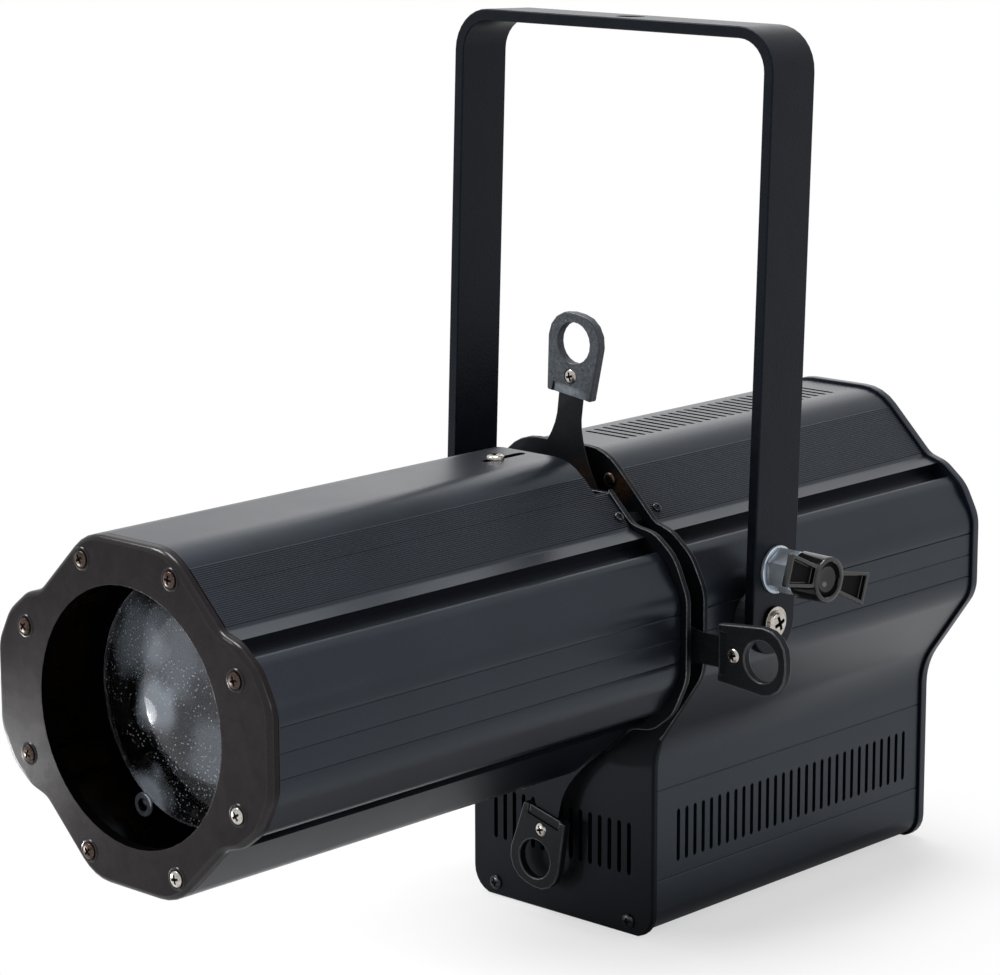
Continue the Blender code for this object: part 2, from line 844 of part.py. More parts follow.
def make_focus():
    y = Y_BARREL_END - FOCUS_BACK
    rig = frame("focus_rig", (0, y, AXIS_H))
    outer = barrel_bore() - RUN
    ring = [
        (FOCUS_LENS_R - SEAT_LEDGE, CARRIAGE_T / 2),
        (FOCUS_LENS_R - SEAT_LEDGE, FOCUS_LENS_EDGE / 2 + SEAT),
        (FOCUS_LENS_R + SEAT, FOCUS_LENS_EDGE / 2 + SEAT),
        (FOCUS_LENS_R + SEAT, -CARRIAGE_T / 2),
        (outer, -CARRIAGE_T / 2),
        (outer, CARRIAGE_T / 2),
    ]
    carriage = add("focus_carriage", turned(ring, 32, AHEAD), "black_plastic", rig)
    roof = TOP_Z - WALL - RUN
    half = CARRIAGE_T / 2
    lug = extruded([box(half, half - SEAT)], outer - FOCUS_LUG_ROOT, roof, TO_Z)
    boolean(carriage, add("focus_lug", lug, parent=rig), "UNION")
    hole = FOCUS_SCREW_R + SEAT
    depth = TOP_Z - WALL - FOCUS_SCREW_IN
    tool = extruded([circle(hole, 16)], depth, roof + 2, TO_Z)
    boolean(carriage, add("cut_focus_hole", tool, parent=rig))
    glass = lens_profile(FOCUS_LENS_R, FOCUS_LENS_EDGE, back=FOCUS_LENS_BULGE)
    add("focus_lens", turned(glass, 24, AHEAD), "optical_glass", rig)
    top = TOP_Z + SEAT
    profile = [
        (0, top + FOCUS_HEAD_H),
        (FOCUS_HEAD_R * 0.6, top + FOCUS_HEAD_H * 0.9),
        (FOCUS_HEAD_R * 0.9, top + FOCUS_HEAD_H * 0.5),
        (FOCUS_HEAD_R, top),
        (FOCUS_SCREW_R, top),
        (FOCUS_SCREW_R, depth + SEAT),
        (0, depth + SEAT),
    ]
    add("focus_screw", turned(profile, 12), "nickel", rig)


def make_light_engine():
    y = Y_FRONT + FRONT_PLATE_T + SEAT
    bore = TUBE_R - TUBE_WALL
    ledge = bore - SEAT_LEDGE
    tube = [
        (ledge, TUBE_LEN),
        (ledge, TUBE_LEN - CONDENSER_Y),
        (bore, TUBE_LEN - CONDENSER_Y),
        (bore, 0),
        (TUBE_R, 0),
        (TUBE_R, TUBE_LEN),
    ]
    end = y + TUBE_LEN
    add("optics_tube", turned(tube, 32, AHEAD, (0, end, AXIS_H)), "coated_aluminium")
    glass = lens_profile(bore - SEAT, CONDENSER_EDGE, back=CONDENSER_BULGE)
    place = (0, y + CONDENSER_Y + SEAT + CONDENSER_EDGE / 2, AXIS_H)
    add("condenser_lens", turned(glass, 24, AHEAD, place), "optical_glass")
    sink = end + SEAT
    board = [(0, LED_T + COB_T), (COB_R, LED_T + COB_T), (COB_R, LED_T), (LED_R, LED_T), (LED_R, 0), (0, 0)]
    add("led_board", turned(board, 20, AHEAD, (0, sink - SEAT, AXIS_H)), "circuit_board")
    comb = sink_outline(sink)
    mesh = extruded([comb], AXIS_H - SINK_Z, AXIS_H + SINK_Z, TO_Z)
    add("heat_sink", mesh, "bare_aluminium")
    make_fan(sink + SINK_BASE + FIN_LEN + SEAT)


def sink_outline(y):
    """Comb of fins behind a base, read as (x, y)."""
    points = [(-SINK_X, y), (SINK_X, y)]
    pitch = (2 * SINK_X - FIN_T) / (FINS - 1)
    low, high = y + SINK_BASE, y + SINK_BASE + FIN_LEN
    for i in reversed(range(FINS)):
        left = -SINK_X + i * pitch
        right = left + FIN_T
        if i < FINS - 1:
            points.append((right, low))
        points.append((right, high))
        points.append((left, high))
        if i:
            points.append((left, low))
    return points


def make_fan(y):
    half = FAN_SIDE / 2
    loops = [box(half, half, 0, AXIS_H), circle(FAN_BORE_R, 28, 0, AXIS_H)]
    body = add("fan_frame", extruded(loops, y, y + FAN_T), "black_plastic")
    reach = FAN_BORE_R + 1
    arms = [
        extruded([box(reach, FAN_ARM_T, 0, AXIS_H)], y + FAN_T - FAN_ARM_T, y + FAN_T),
        extruded([box(FAN_ARM_T, reach, 0, AXIS_H)], y + FAN_T - FAN_ARM_T, y + FAN_T),
    ]
    for i, arm in enumerate(arms):
        boolean(body, add(f"fan_arm_{i}", arm), "UNION")
    rig = frame("fan_axis", (0, y, AXIS_H))
    back = FAN_T - FAN_ARM_T - SEAT
    add("fan_rotor", extruded([rotor_outline()], 1.0, back), "black_plastic", rig)


def rotor_outline():
    """Hub with blades, seen along the axis."""
    points = []
    turn = 2 * math.pi / ROTOR_BLADES
    for i in range(ROTOR_BLADES):
        for radius, angle in ((ROTOR_HUB_R, 0.0), (ROTOR_R, 0.28), (ROTOR_R, 0.62), (ROTOR_HUB_R, 0.34)):
            angle = i * turn + angle * turn
            points.append((radius * math.cos(angle), radius * math.sin(angle)))
        angle = (i + 0.67) * turn
        points.append((ROTOR_HUB_R * math.cos(angle), ROTOR_HUB_R * math.sin(angle)))
    return points


def make_supply():
    low = BASE_T + SEAT
    loop = box(SUPPLY_X, SUPPLY_H / 2, 0, low + SUPPLY_H / 2)
    half = SUPPLY_LEN / 2
    mesh = extruded([loop], SUPPLY_Y - half, SUPPLY_Y + half)
    add("power_supply", mesh, "bare_aluminium")


def make_rear_fittings():
    inner = Y_REAR - DISPLAY_T - 4.0
    window = box(DISPLAY_X, DISPLAY_H, 0, DISPLAY_AT)
    add("display_window", extruded([window], inner, Y_REAR - 0.5), "black_plastic")
    board = inner - SEAT
    middle = (DISPLAY_AT + BUTTON_AT) / 2
    loop = box(BOARD_X, BOARD_H / 2, 0, middle)
    add("control_board", extruded([loop], board - BOARD_T, board), "circuit_board")
    for i, x in enumerate(button_places()):
        make_button(f"menu_button_{i + 1}", x, board)
    for name, i in (("data_in_socket", -1), ("data_out_socket", 0), ("power_inlet", 1)):
        make_socket(name, i * SOCKET_PITCH)
    fuse = [
        (0, FUSE_HEAD_T + SEAT),
        (FUSE_HEAD_R - 1, FUSE_HEAD_T + SEAT),
        (FUSE_HEAD_R, FUSE_HEAD_T - 1),
        (FUSE_HEAD_R, SEAT),
        (FUSE_R, SEAT),
        (FUSE_R, -FUSE_DEPTH),
        (0, -FUSE_DEPTH),
    ]
    place = (SOCKET_PITCH, Y_REAR, FUSE_AT)
    add("fuse_holder", turned(fuse, 14, BEHIND, place), "black_plastic")


BEHIND = Matrix(((1, 0, 0, 0), (0, 0, 1, 0), (0, -1, 0, 0), (0, 0, 0, 1)))


def make_button(name, x, board):
    """Plunger with a collar behind the panel, so that it can't fall out."""
    rig = frame(f"{name}_axis", (x, Y_REAR, BUTTON_AT))
    under = -REAR_T - SEAT
    foot = board - Y_REAR + BUTTON_TRAVEL + SEAT
    profile = [
        (0, BUTTON_OUT),
        (BUTTON_R - 0.6, BUTTON_OUT),
        (BUTTON_R, BUTTON_OUT - 0.6),
        (BUTTON_R, under),
        (BUTTON_CAP_R, under),
        (BUTTON_CAP_R, min(under - BUTTON_CAP_T, under - 0.5)),
        (BUTTON_R - 1, min(under - BUTTON_CAP_T, under - 0.5)),
        (BUTTON_R - 1, min(foot, under - BUTTON_CAP_T)),
        (0, min(foot, under - BUTTON_CAP_T)),
    ]
    add(name, turned(profile, 12, BEHIND), "black_plastic", rig)


def make_socket(name, x):
    """Round panel socket with a square flange and an open bore."""
    flange = [box(SOCKET_FLANGE, SOCKET_FLANGE, x, SOCKET_AT), circle(SOCKET_BORE_R, 16, x, SOCKET_AT)]
    low = Y_REAR + SEAT
    socket = add(name, extruded(flange, low, low + SOCKET_FLANGE_T), "black_plastic")
    shell = [
        (0, SOCKET_FLANGE_T - SOCKET_BORE_D),
        (SOCKET_BORE_R, SOCKET_FLANGE_T - SOCKET_BORE_D),
        (SOCKET_BORE_R, SEAT + SOCKET_FLANGE_T / 2),
        (SOCKET_R, SEAT + SOCKET_FLANGE_T / 2),
        (SOCKET_R, -SOCKET_DEPTH),
        (0, -SOCKET_DEPTH),
    ]
    tool = turned(shell, 20, BEHIND, (x, Y_REAR, SOCKET_AT))
    boolean(socket, add(f"{name}_shell", tool), "UNION")


def blade_outline():
    """Blade seen along the light, growing out along +v from the axis."""
    right = [(BLADE_HALF, BLADE_TIP), (BLADE_HALF, BLADE_WIDE_END)]
    steps = 7
    for i in range(1, steps + 1):
        part = i / steps
        ease = (1 - part) ** 1.6
        half = BLADE_NECK_HALF + (BLADE_HALF - BLADE_NECK_HALF) * ease
        right.append((half, BLADE_WIDE_END + (BLADE_NECK_AT - BLADE_WIDE_END) * part))
    right.append((BLADE_NECK_HALF, HANDLE_AT + TANG))
    left = [(-u, v) for u, v in reversed(right)]
    return [*right, *left]


def handle_outline():
    """Tab that widens from its root to the finger hole and is round at its outer end."""
    crown = HANDLE_AT + HANDLE_LEN
    corners = [
        (0, HANDLE_AT, 0),
        (-HANDLE_ROOT_HALF, HANDLE_AT, 1.0),
        (-HANDLE_HALF, HANDLE_AT + FINGER_AT, HANDLE_SHOULDER_R),
        (-HANDLE_HALF, crown, HANDLE_LEN - FINGER_AT - 1.0),
        (0, crown, 0),
    ]
    left = flat(rounded(corners, 4))[1:-1]
    right = [(-u, v) for u, v in reversed(left)]
    return [*left, *right]


def make_shutter(name, spot, pair):
    """Blade, handle and screw, built upright and turned into place about the axis."""
    turn, shift, pull = spot
    rig = frame(f"{name}_slide", (0, Y_GATE, AXIS_H), (0, turn, 0))
    y = pair * BLADE_SPLIT
    screw = (shift, y, HANDLE_AT + HANDLE_SCREW_AT + pull)
    blade = moved([blade_outline()], shift, pull)
    blade.append(circle(HANDLE_SCREW_R * 0.5 + SEAT, 12, screw[0], screw[2]))
    mesh = extruded(blade, y - BLADE_T / 2, y + BLADE_T / 2)
    add(f"{name}_shutter_blade", mesh, "dark_steel", rig)
    make_handle(name, shift, y, pull, rig)
    make_handle_screw(name, screw, rig)


def moved(loops, across, along):
    return [[(u + across, v + along) for u, v in loop] for loop in loops]


def make_handle(name, shift, y, pull, rig):
    half = HANDLE_T / 2
    loops = [handle_outline(), circle(FINGER_R, 20, 0, HANDLE_AT + FINGER_AT)]
    mesh = extruded(moved(loops, shift, pull), y - half, y + half)
    handle = add(f"{name}_shutter_handle", mesh, "black_plastic", rig)
    tang = box(BLADE_NECK_HALF + SEAT, TANG + SEAT, shift, HANDLE_AT + pull)
    gap = BLADE_T / 2 + SEAT
    boolean(handle, add(f"cut_{name}_slot", extruded([tang], y - gap, y + gap), parent=rig))
    step = box(HANDLE_STEP_HALF, HANDLE_STEP_H, shift, HANDLE_AT + pull)
    tool = extruded([step], y - half - 1, y - half + HANDLE_STEP_D)
    boolean(handle, add(f"cut_{name}_step", tool, parent=rig))


def make_handle_screw(name, place, rig):
    """Screw through the handle and the blade, its head let into the front face."""
    half = HANDLE_T / 2
    shank = HANDLE_SCREW_R * 0.5
    sink = half - HANDLE_SCREW_SINK
    foot = HANDLE_SCREW_SINK - half
    bore = [
        (0, half + 1),
        (HANDLE_SCREW_R + SEAT, half + 1),
        (HANDLE_SCREW_R + SEAT, sink),
        (shank + SEAT, sink),
        (shank + SEAT, foot),
        (0, foot),
    ]
    handle = bpy.data.objects[f"{name}_shutter_handle"]
    tool = turned(bore, 12, AHEAD, place)
    boolean(handle, add(f"cut_{name}_screw", tool, parent=rig))
    screw = [
        (0, half + 0.8),
        (HANDLE_SCREW_R * 0.6, half + 0.6),
        (HANDLE_SCREW_R, half - 0.2),
        (HANDLE_SCREW_R, sink + SEAT),
        (shank, sink + SEAT),
        (shank, foot + SEAT),
        (0, foot + SEAT),
    ]
    add(f"{name}_handle_screw", turned(screw, 12, AHEAD, place), "nickel", rig)


def make_yoke():
    """Flat bar bent to an arch, drilled for the clamp, the pivots and the studs."""
    rig = frame("tilt_axis", (0, Y_PIVOT, AXIS_H), (-YOKE_LEAN, 0, 0))
    half = YOKE_W / 2
    outer = [(0, YOKE_TOP, 0), (X_LEG_OUT, YOKE_TOP, YOKE_R), (X_LEG_OUT, -half, 0)]
    inner = moved_out(outer, -YOKE_T)
    right = [*flat(rounded(outer, 8)), *reversed(flat(rounded(inner, 8)))]
    arch = [point for point in right if point[0] > 1e-6]
    loop = [*arch, *((-x, z) for x, z in reversed(arch))]
    yoke = add("yoke", extruded([loop], -half, half), "coated_steel", rig)
    ends = [(half, 0), (half, YOKE_TOP + 2), (-half, YOKE_TOP + 2), (-half, 0)]
    foot = [(-half * math.cos(math.pi * i / 12), -half * math.sin(math.pi * i / 12)) for i in range(1, 12)]
    reach = X_LEG_OUT + 2
    side = extruded([[*ends, *foot]], -reach, reach, TO_X)
    boolean(yoke, add("leg_shape", side, parent=rig), "INTERSECT")
    clamp = extruded([circle(CLAMP_HOLE_R, 24)], YOKE_TOP - 2 * YOKE_T, YOKE_TOP + YOKE_T, TO_Z)
    boolean(yoke, add("cut_clamp", clamp, parent=rig))
    for name, radius, z in (("pivot", PIVOT_R, 0), ("stud", STUD_R, KNOB_AT)):
        bore = extruded([circle(radius + RUN, 16, 0, z)], -reach, reach, TO_X)
        boolean(yoke, add(f"cut_{name}_bores", bore, parent=rig))
    for side, way in (("right", OUT_RIGHT), ("left", OUT_LEFT)):
        make_pivot(side, way)
        make_knob(side, way, rig)


OUT_RIGHT = Matrix(((0, 0, 1, 0), (1, 0, 0, 0), (0, 1, 0, 0), (0, 0, 0, 1)))
OUT_LEFT = Matrix(((0, 0, -1, 0), (-1, 0, 0, 0), (0, 1, 0, 0), (0, 0, 0, 1)))


def make_pivot(side, way):
    """Screw with a washer through the leg and the spacer into the housing."""
    out = X_LEG_OUT + SEAT
    screw = [
        (0, out + PIVOT_WASHER_T + PIVOT_HEAD_H),
        (PIVOT_HEAD_R * 0.6, out + PIVOT_WASHER_T + PIVOT_HEAD_H * 0.85),
        (PIVOT_HEAD_R, out + PIVOT_WASHER_T + PIVOT_HEAD_H * 0.3),
        (PIVOT_HEAD_R, out + PIVOT_WASHER_T),
        (PIVOT_WASHER_R, out + PIVOT_WASHER_T),
        (PIVOT_WASHER_R, out),
        (PIVOT_R, out),
        (PIVOT_R, LOBE_X - PIVOT_DEPTH),
        (0, LOBE_X - PIVOT_DEPTH),
    ]
    place = (0, Y_PIVOT, AXIS_H)
    add(f"{side}_pivot_screw", turned(screw, 16, way, place), "nickel")
    low = LOBE_X + SEAT
    bush = [
        (PIVOT_R + SEAT, low + SPACER_T),
        (PIVOT_R + SEAT, low),
        (SPACER_R, low),
        (SPACER_R, low + SPACER_T),
    ]
    add(f"{side}_spacer_bush", turned(bush, 24, way, place), "black_plastic")


def make_knob(side, way, rig):
    """Chrome ferrule on its stud, and the winged knob moulded round its end."""
    turn = frame(f"{side}_knob_axis", (0, 0, KNOB_AT), parent=rig)
    low = X_LEG_OUT + SEAT
    top = low + FERRULE_LEN
    ferrule = [
        (0, top),
        (FERRULE_R - 0.6, top),
        (FERRULE_R, top - 0.6),
        (FERRULE_R, low + FERRULE_FLANGE_T + 0.8),
        (FERRULE_FLANGE_R, low + FERRULE_FLANGE_T),
        (FERRULE_FLANGE_R, low),
        (STUD_R, low),
        (STUD_R, X_LEG_IN - STUD_TIP),
        (0, X_LEG_IN - STUD_TIP),
    ]
    add(f"{side}_lock_stud", turned(ferrule, 20, way), "nickel", turn)
    base = top + SEAT
    hub = [
        (0, base + KNOB_LEN),
        (KNOB_HUB_R - 1, base + KNOB_LEN),
        (KNOB_HUB_R, base + KNOB_LEN - 1),
        (KNOB_HUB_R + 1, base),
        (0, base),
    ]
    knob = add(f"{side}_lock_knob", turned(hub, 20, way), "black_plastic", turn)
    end = base + KNOB_LEN
    boolean(knob, add(f"{side}_wings", wing_bar(end, way), parent=turn), "UNION")
    boolean(knob, add(f"cut_{side}_pockets", wing_pockets(end, way), parent=turn))
    bore = extruded([circle(KNOB_BORE_R, 16)], end - KNOB_BORE_D, end + 2, TO_Z)
    bore.transform(way)
    boolean(knob, add(f"cut_{side}_knob_bore", bore, parent=turn))
    knob.rotation_euler.x = math.radians(KNOB_TURN)


def wing_loop(start, rim=0.0):
    """One wing seen along the axis, widening to its tip; a rim draws it in."""
    slope = (KNOB_WING_TIP - KNOB_WING_ROOT) / (KNOB_SPAN - KNOB_HUB_R)
    tip = KNOB_SPAN - rim
    low = KNOB_WING_ROOT + slope * (start - KNOB_HUB_R) - rim
    high = KNOB_WING_ROOT + slope * (tip - KNOB_HUB_R) - rim
    return [(start, -low), (tip, -high), (tip, high), (start, low)]


def wing_bar(end, way):
    """Both wings in one bow tie through the hub."""
    right = wing_loop(KNOB_HUB_R * 0.6)
    left = [(-u, -v) for u, v in right]
    high = end - KNOB_WING_SET
    bar = extruded([[*right, *left]], high - KNOB_WING_W, high, TO_Z)
    bar.transform(way)
    return bar


def wing_pockets(end, way):
    """Hollows in the outer face that leave a rim round each wing."""
    right = wing_loop(KNOB_HUB_R + KNOB_RIM * 0.5, KNOB_RIM)
    left = [(-u, -v) for u, v in right]
    high = end - KNOB_WING_SET
    made = [extruded([loop], high - KNOB_POCKET_D, high + 2, TO_Z) for loop in (right, left)]
    tool = together(made)
    tool.transform(way)
    return tool


def build():
    make_housing()
    make_base()
    make_front_plate()
    make_rear_panel()
    make_barrel()
    make_bezel()
    make_flange()
    make_divider()
    make_front_lens()
    make_focus()
    make_light_engine()
    make_supply()
    make_rear_fittings()
    for name, spot in SHUTTERS.items():
        pair = -1 if name in ("top", "bottom") else 1
        make_shutter(name, spot, pair)
    make_yoke()


build()
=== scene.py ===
"""Looks of a follow spot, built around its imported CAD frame.

+Z is up and the light points along -Y. Sizes are millimetres in the frame's own
axes, and MM turns them into metres.
"""

import functools
import itertools
import json
import math

import bmesh
import bpy
from mathutils import Matrix, Vector

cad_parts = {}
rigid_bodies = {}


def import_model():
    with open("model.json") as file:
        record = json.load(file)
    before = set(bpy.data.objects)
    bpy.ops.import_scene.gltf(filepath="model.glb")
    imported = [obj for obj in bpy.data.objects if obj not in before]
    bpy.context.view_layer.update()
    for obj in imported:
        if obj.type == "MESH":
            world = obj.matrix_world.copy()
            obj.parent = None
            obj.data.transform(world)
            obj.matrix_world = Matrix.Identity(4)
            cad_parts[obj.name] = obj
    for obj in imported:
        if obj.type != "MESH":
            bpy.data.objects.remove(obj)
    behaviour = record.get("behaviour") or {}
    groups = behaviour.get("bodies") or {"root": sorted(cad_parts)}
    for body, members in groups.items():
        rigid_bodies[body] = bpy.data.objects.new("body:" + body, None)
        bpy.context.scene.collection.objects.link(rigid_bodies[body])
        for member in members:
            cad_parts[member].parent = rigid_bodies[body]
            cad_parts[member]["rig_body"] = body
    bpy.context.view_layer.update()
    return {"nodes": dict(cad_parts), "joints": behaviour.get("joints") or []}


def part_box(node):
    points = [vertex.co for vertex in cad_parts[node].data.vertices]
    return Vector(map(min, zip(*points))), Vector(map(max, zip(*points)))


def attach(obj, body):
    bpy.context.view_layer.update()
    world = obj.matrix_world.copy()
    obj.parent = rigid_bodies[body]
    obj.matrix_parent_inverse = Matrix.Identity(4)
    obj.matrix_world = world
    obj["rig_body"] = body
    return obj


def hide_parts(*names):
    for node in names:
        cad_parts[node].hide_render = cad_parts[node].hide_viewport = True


MM = 0.001

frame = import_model()
NODES = frame["nodes"]


def span(node):
    """Lowest and highest corner of a CAD node in millimetres."""
    low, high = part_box(node)
    return low / MM, high / MM


def middle_of(node):
    """Middle of a CAD node's box in millimetres."""
    low, high = span(node)
    return (low + high) / 2


# Stations that the frame gives
BARREL_LOW, BARREL_HIGH = span("barrel")
HOUSING_LOW, HOUSING_HIGH = span("rear_housing")
BEZEL_FRONT = span("front_bezel")[0].y
PLATE_FRONT = span("body_front_plate")[0].y
REAR_BACK = span("rear_panel")[1].y
YOKE_OUT = span("yoke")[1].x
AXIS_Z = (BARREL_LOW.z + BARREL_HIGH.z) / 2

# Ways and sides
FORWARD = (0, -1, 0)
BACKWARD = (0, 1, 0)
UPWARD = (0, 0, 1)
SIDES = (("right", 1), ("left", -1))
SHUTTERS = ("top", "right", "bottom", "left")

# How far along the axis a face looks: less is a wall along it, more lies across it
WALL_Y = 0.3
SIDE_Y = 0.5
FACE_Y = 0.9

# Angles in degrees
SMOOTH = 32  # softer corners than this are shaded round
SHELL_SMOOTH = 20
LENS_SMOOTH = 40
RIB_SMOOTH = 50
SHARP = 35  # sharper corners than this may be rounded
FLAT = 0.5  # faces that differ less are one face
WELD = 1e-6  # metres between corners that are one corner

# Section of the two extrusions, from the optical axis
TOP_CORNER = Vector((25.5, 74.6))
STEP_CORNER = Vector((55.1, 45.3))
SLOPE = STEP_CORNER - TOP_CORNER
NOTCH_X = 40.5
NOTCH_L = 8.1  # of the barrel's own length

# Fine ribs along the slopes
RIB_PITCH = 0.98  # a little coarser than the real 0.74, so that the ribs show
RIB_HEIGHT = 0.34
RIB_ROUND = 0.8  # power that makes the crest broad
RIB_STEPS = 4
RIB_FOOT = 0.02  # foot of a rib above the wall
RIB_BACK = 0.3  # back of the strip below the foot
RIBS_ABOVE = 11
RIBS_BELOW = 19

# Edges of the plates and slots
WORN_ABOVE = -56.0  # from the axis; plate edges above this show bare metal
SLOT_FIELD_X = 51.0  # half of the slotted field in the front of the lower box
SLOT_FIELD_LOW, SLOT_FIELD_HIGH = -140.0, -80.0  # from the axis
SLOT_CORNER_L = 6.0  # corners at the end of a slot are shorter
SLOT_WALL_AREA = 110.0  # walls of a slot are smaller
MOUTH_EDGE = 2.0  # edges this near the mouth belong to it

# Screws: places from the optical axis, heads as radius and height
BEZEL_SCREWS = ((64.7, 27.9), (27.2, 62.8))
BEZEL_HEAD = (3.5, 1.5)
PLATE_SCREW = (29.6, 62.6)
PLATE_HEAD = (3.2, 1.6)
BOX_SCREW = (42.0, -145.5)
SLOPE_SCREW_AT = 34.0  # along the slope from its upper corner
SLOPE_HEAD = (2.4, 1.2)
BARREL_SCREW_BACK = 2.9  # from the barrel's rear end
BODY_SCREW_BACK = 5.6  # from the front end of the housing
REAR_SCREWS = ((76.0, 17.0), (22.0, 69.0), (49.0, -76.0), (49.0, -141.0))
PIVOT_HEAD = (5.8, 2.4)
FOCUS_HEAD = (4.0, 2.4)
HANDLE_HEAD = (3.4, 2.0)
CLIP_HEAD = (2.9, 1.8)
CLIP_FOOT = 3.2  # foot of a lens clip's screw, from its front
LEG_GAP = 0.3  # between the yoke's leg and what sits on it
ROOF_GAP = 0.1  # between the barrel's roof and the focus screw

# A screw's own shape, as shares of its head
CROWN_RISE = 0.6
SHANK_R = 0.5
SPRING_R = 0.8  # of the flat washer on the spring washer
CROSS_REACH = 0.68
CROSS_WIDTH = 0.34
CROSS_DEPTH = 0.8
CROSS_TAPER = 0.62
CROSS_OVER = 0.3  # millimetres by which the cutting cross stands out

# Profiles as radius and height
DIMPLE_LIP = ((5.1, 0.02), (4.8, 0.36), (4.3, 0.44), (3.8, 0.08), (3.8, -0.2), (5.1, -0.2))
CLIP_WASHER = ((2.95, 0.9), (4.9, 0.9), (5.3, 0.5), (5.3, -0.3), (2.95, -0.3))

# Rust where the gate has been hot: x from the axis, y in the frame, z from the axis, radius
PLATE_RUST = (35.5, PLATE_FRONT, 60.5, 7.0)
BLADE_RUST = (19.0, PLATE_FRONT - 5.0, 63.0, 9.0)

# Front lens
MOUTH_R = 55.5
LENS_LOW, LENS_HIGH = span("front_lens")
LENS_R = (LENS_HIGH.x - LENS_LOW.x) / 2
LENS_T = LENS_HIGH.y - LENS_LOW.y
LENS_EDGE = 4.0
LENS_CROWN = LENS_T - LENS_EDGE
LENS_RINGS = 40
# Painted reflections, pale patches on the back of the lens: x, z, radius, strength
PAINTED_LENS_REFLECTIONS = (
    (-31.0, 174.0, 17.0, 0.26),
    (-8.0, 168.0, 18.0, 0.26),
    (-17.0, 147.0, 13.0, 0.5),
    (14.0, 133.0, 15.0, 0.22),
    (-26.0, 109.0, 12.0, 0.75),
)

# Lock knobs: the hub is short and the chrome collar shows for the rest of the length
KNOB_HUB_R = 10.5
KNOB_HUB_L = 15.5
KNOB_BORE_R = 7.9
KNOB_BORE_D = 6.5
BOWL_AT = 1.2  # depth at which the bore turns into a bowl
BOWL_STEPS = 6
KNOB_SPAN = 29.5
WING_START = 0.72  # of the hub's radius
WING_ROOT = 5.2
WING_TIP = 7.5
WING_W = 3.0
WING_SET = 0.6
WING_EDGE = 0.45
KNOB_RIM = 1.8
POCKET_GAP = 0.4  # between the hub and a pocket
POCKET_D = 2.4
KNOB_TURN = -18.1  # degrees, wings from level
COLLAR_GAP = 0.3  # between the collar and the knob
COLLAR_FLANGE_R = 11.0
COLLAR_FLANGE_T = 1.6
COLLAR_HEX_R = 10.4
STUD_R = 4.0

# Shutter handles
HANDLE_SCREW_CLEAR = 6.2  # edges nearer to the screw stay sharp
HANDLE_SCREW_FOOT = 2.0  # foot of the screw, from its front
ROOT_STEP = (0.6, 1.6)  # limits for the depth of the step's floor

# Fittings of the rear panel
SOCKET_BORE_D = 16.3
PIN_FOOT = 0.05  # foot of a contact above the bore's floor
CORE_OVER = 2.0  # by which a socket's core stands above its contacts
FUSE_RIDGES = 24
FUSE_RIDGE_D = 0.5
FUSE_GAP = 0.3  # between the panel and the cap
FUSE_DISH_D = 0.8
FUSE_STEM_R = 0.75  # of the cap's radius
DISPLAY_GAP = 0.3
DISPLAY_LIFT = 0.02
DISPLAY_CORNER_R = 0.8
DISPLAY_CORNER_STEPS = 5
# Section of the display's frame: outward, up
DISPLAY_SECTION = ((0.0, 0.0), (0.0, 0.5), (0.5, 0.9), (1.7, 0.9), (2.2, 0.4), (2.2, 0.0))

# Camera, as the photograph was taken
IMAGE_W = 1000
FOCAL_PX = 3486.28
SENSOR_W = 36.0
CLIP_START = 0.05  # metres
CAMERA_AT = Vector((1048.75, -1273.36, 544.46))
CAMERA_AZIMUTH = 42.9606
CAMERA_ELEVATION = 12.1534
CAMERA_ROLL = -0.1608


def linear(code):
    """An sRGB hex colour as linear RGBA."""
    parts = [int(code[i : i + 2], 16) / 255 for i in (1, 3, 5)]
    return (*[c / 12.92 if c <= 0.04045 else ((c + 0.055) / 1.055) ** 2.4 for c in parts], 1.0)


WHITE = linear("#ffffff")


def add_node(tree, kind, inputs=None, **settings):
    """Adds a shader node; an input takes a value, an output or the first output of a node."""
    made = tree.nodes.new("ShaderNode" + kind)
    for field, value in settings.items():
        setattr(made, field, value)
    for socket, value in (inputs or {}).items():
        if isinstance(value, bpy.types.Node):
            value = value.outputs[0]
        if isinstance(value, bpy.types.NodeSocket):
            tree.links.new(value, made.inputs[socket])
        else:
            made.inputs[socket].default_value = value
    return made


def per_metre(size):
    """Texture scale for features of a size in millimetres."""
    return 1 / (size * MM)


def blank(name):
    """A material with its tree, the socket of places on the object and that of its surface."""
    made = bpy.data.materials.new(name)
    made.use_nodes = True
    tree = made.node_tree
    tree.nodes.clear()
    surface = add_node(tree, "OutputMaterial").inputs["Surface"]
    where = add_node(tree, "TexCoord").outputs["Object"]
    return made, tree, where, surface


RUST = "#352313"
RUST_GRAIN = 1.7
RUST_SHARE = 0.75
RUST_FULL, RUST_END = 0.3, 1.3  # shares of a spot's radius
RUST_CRUMBS = {"From Min": 0.38, "From Max": 0.64, "To Min": 0.2}


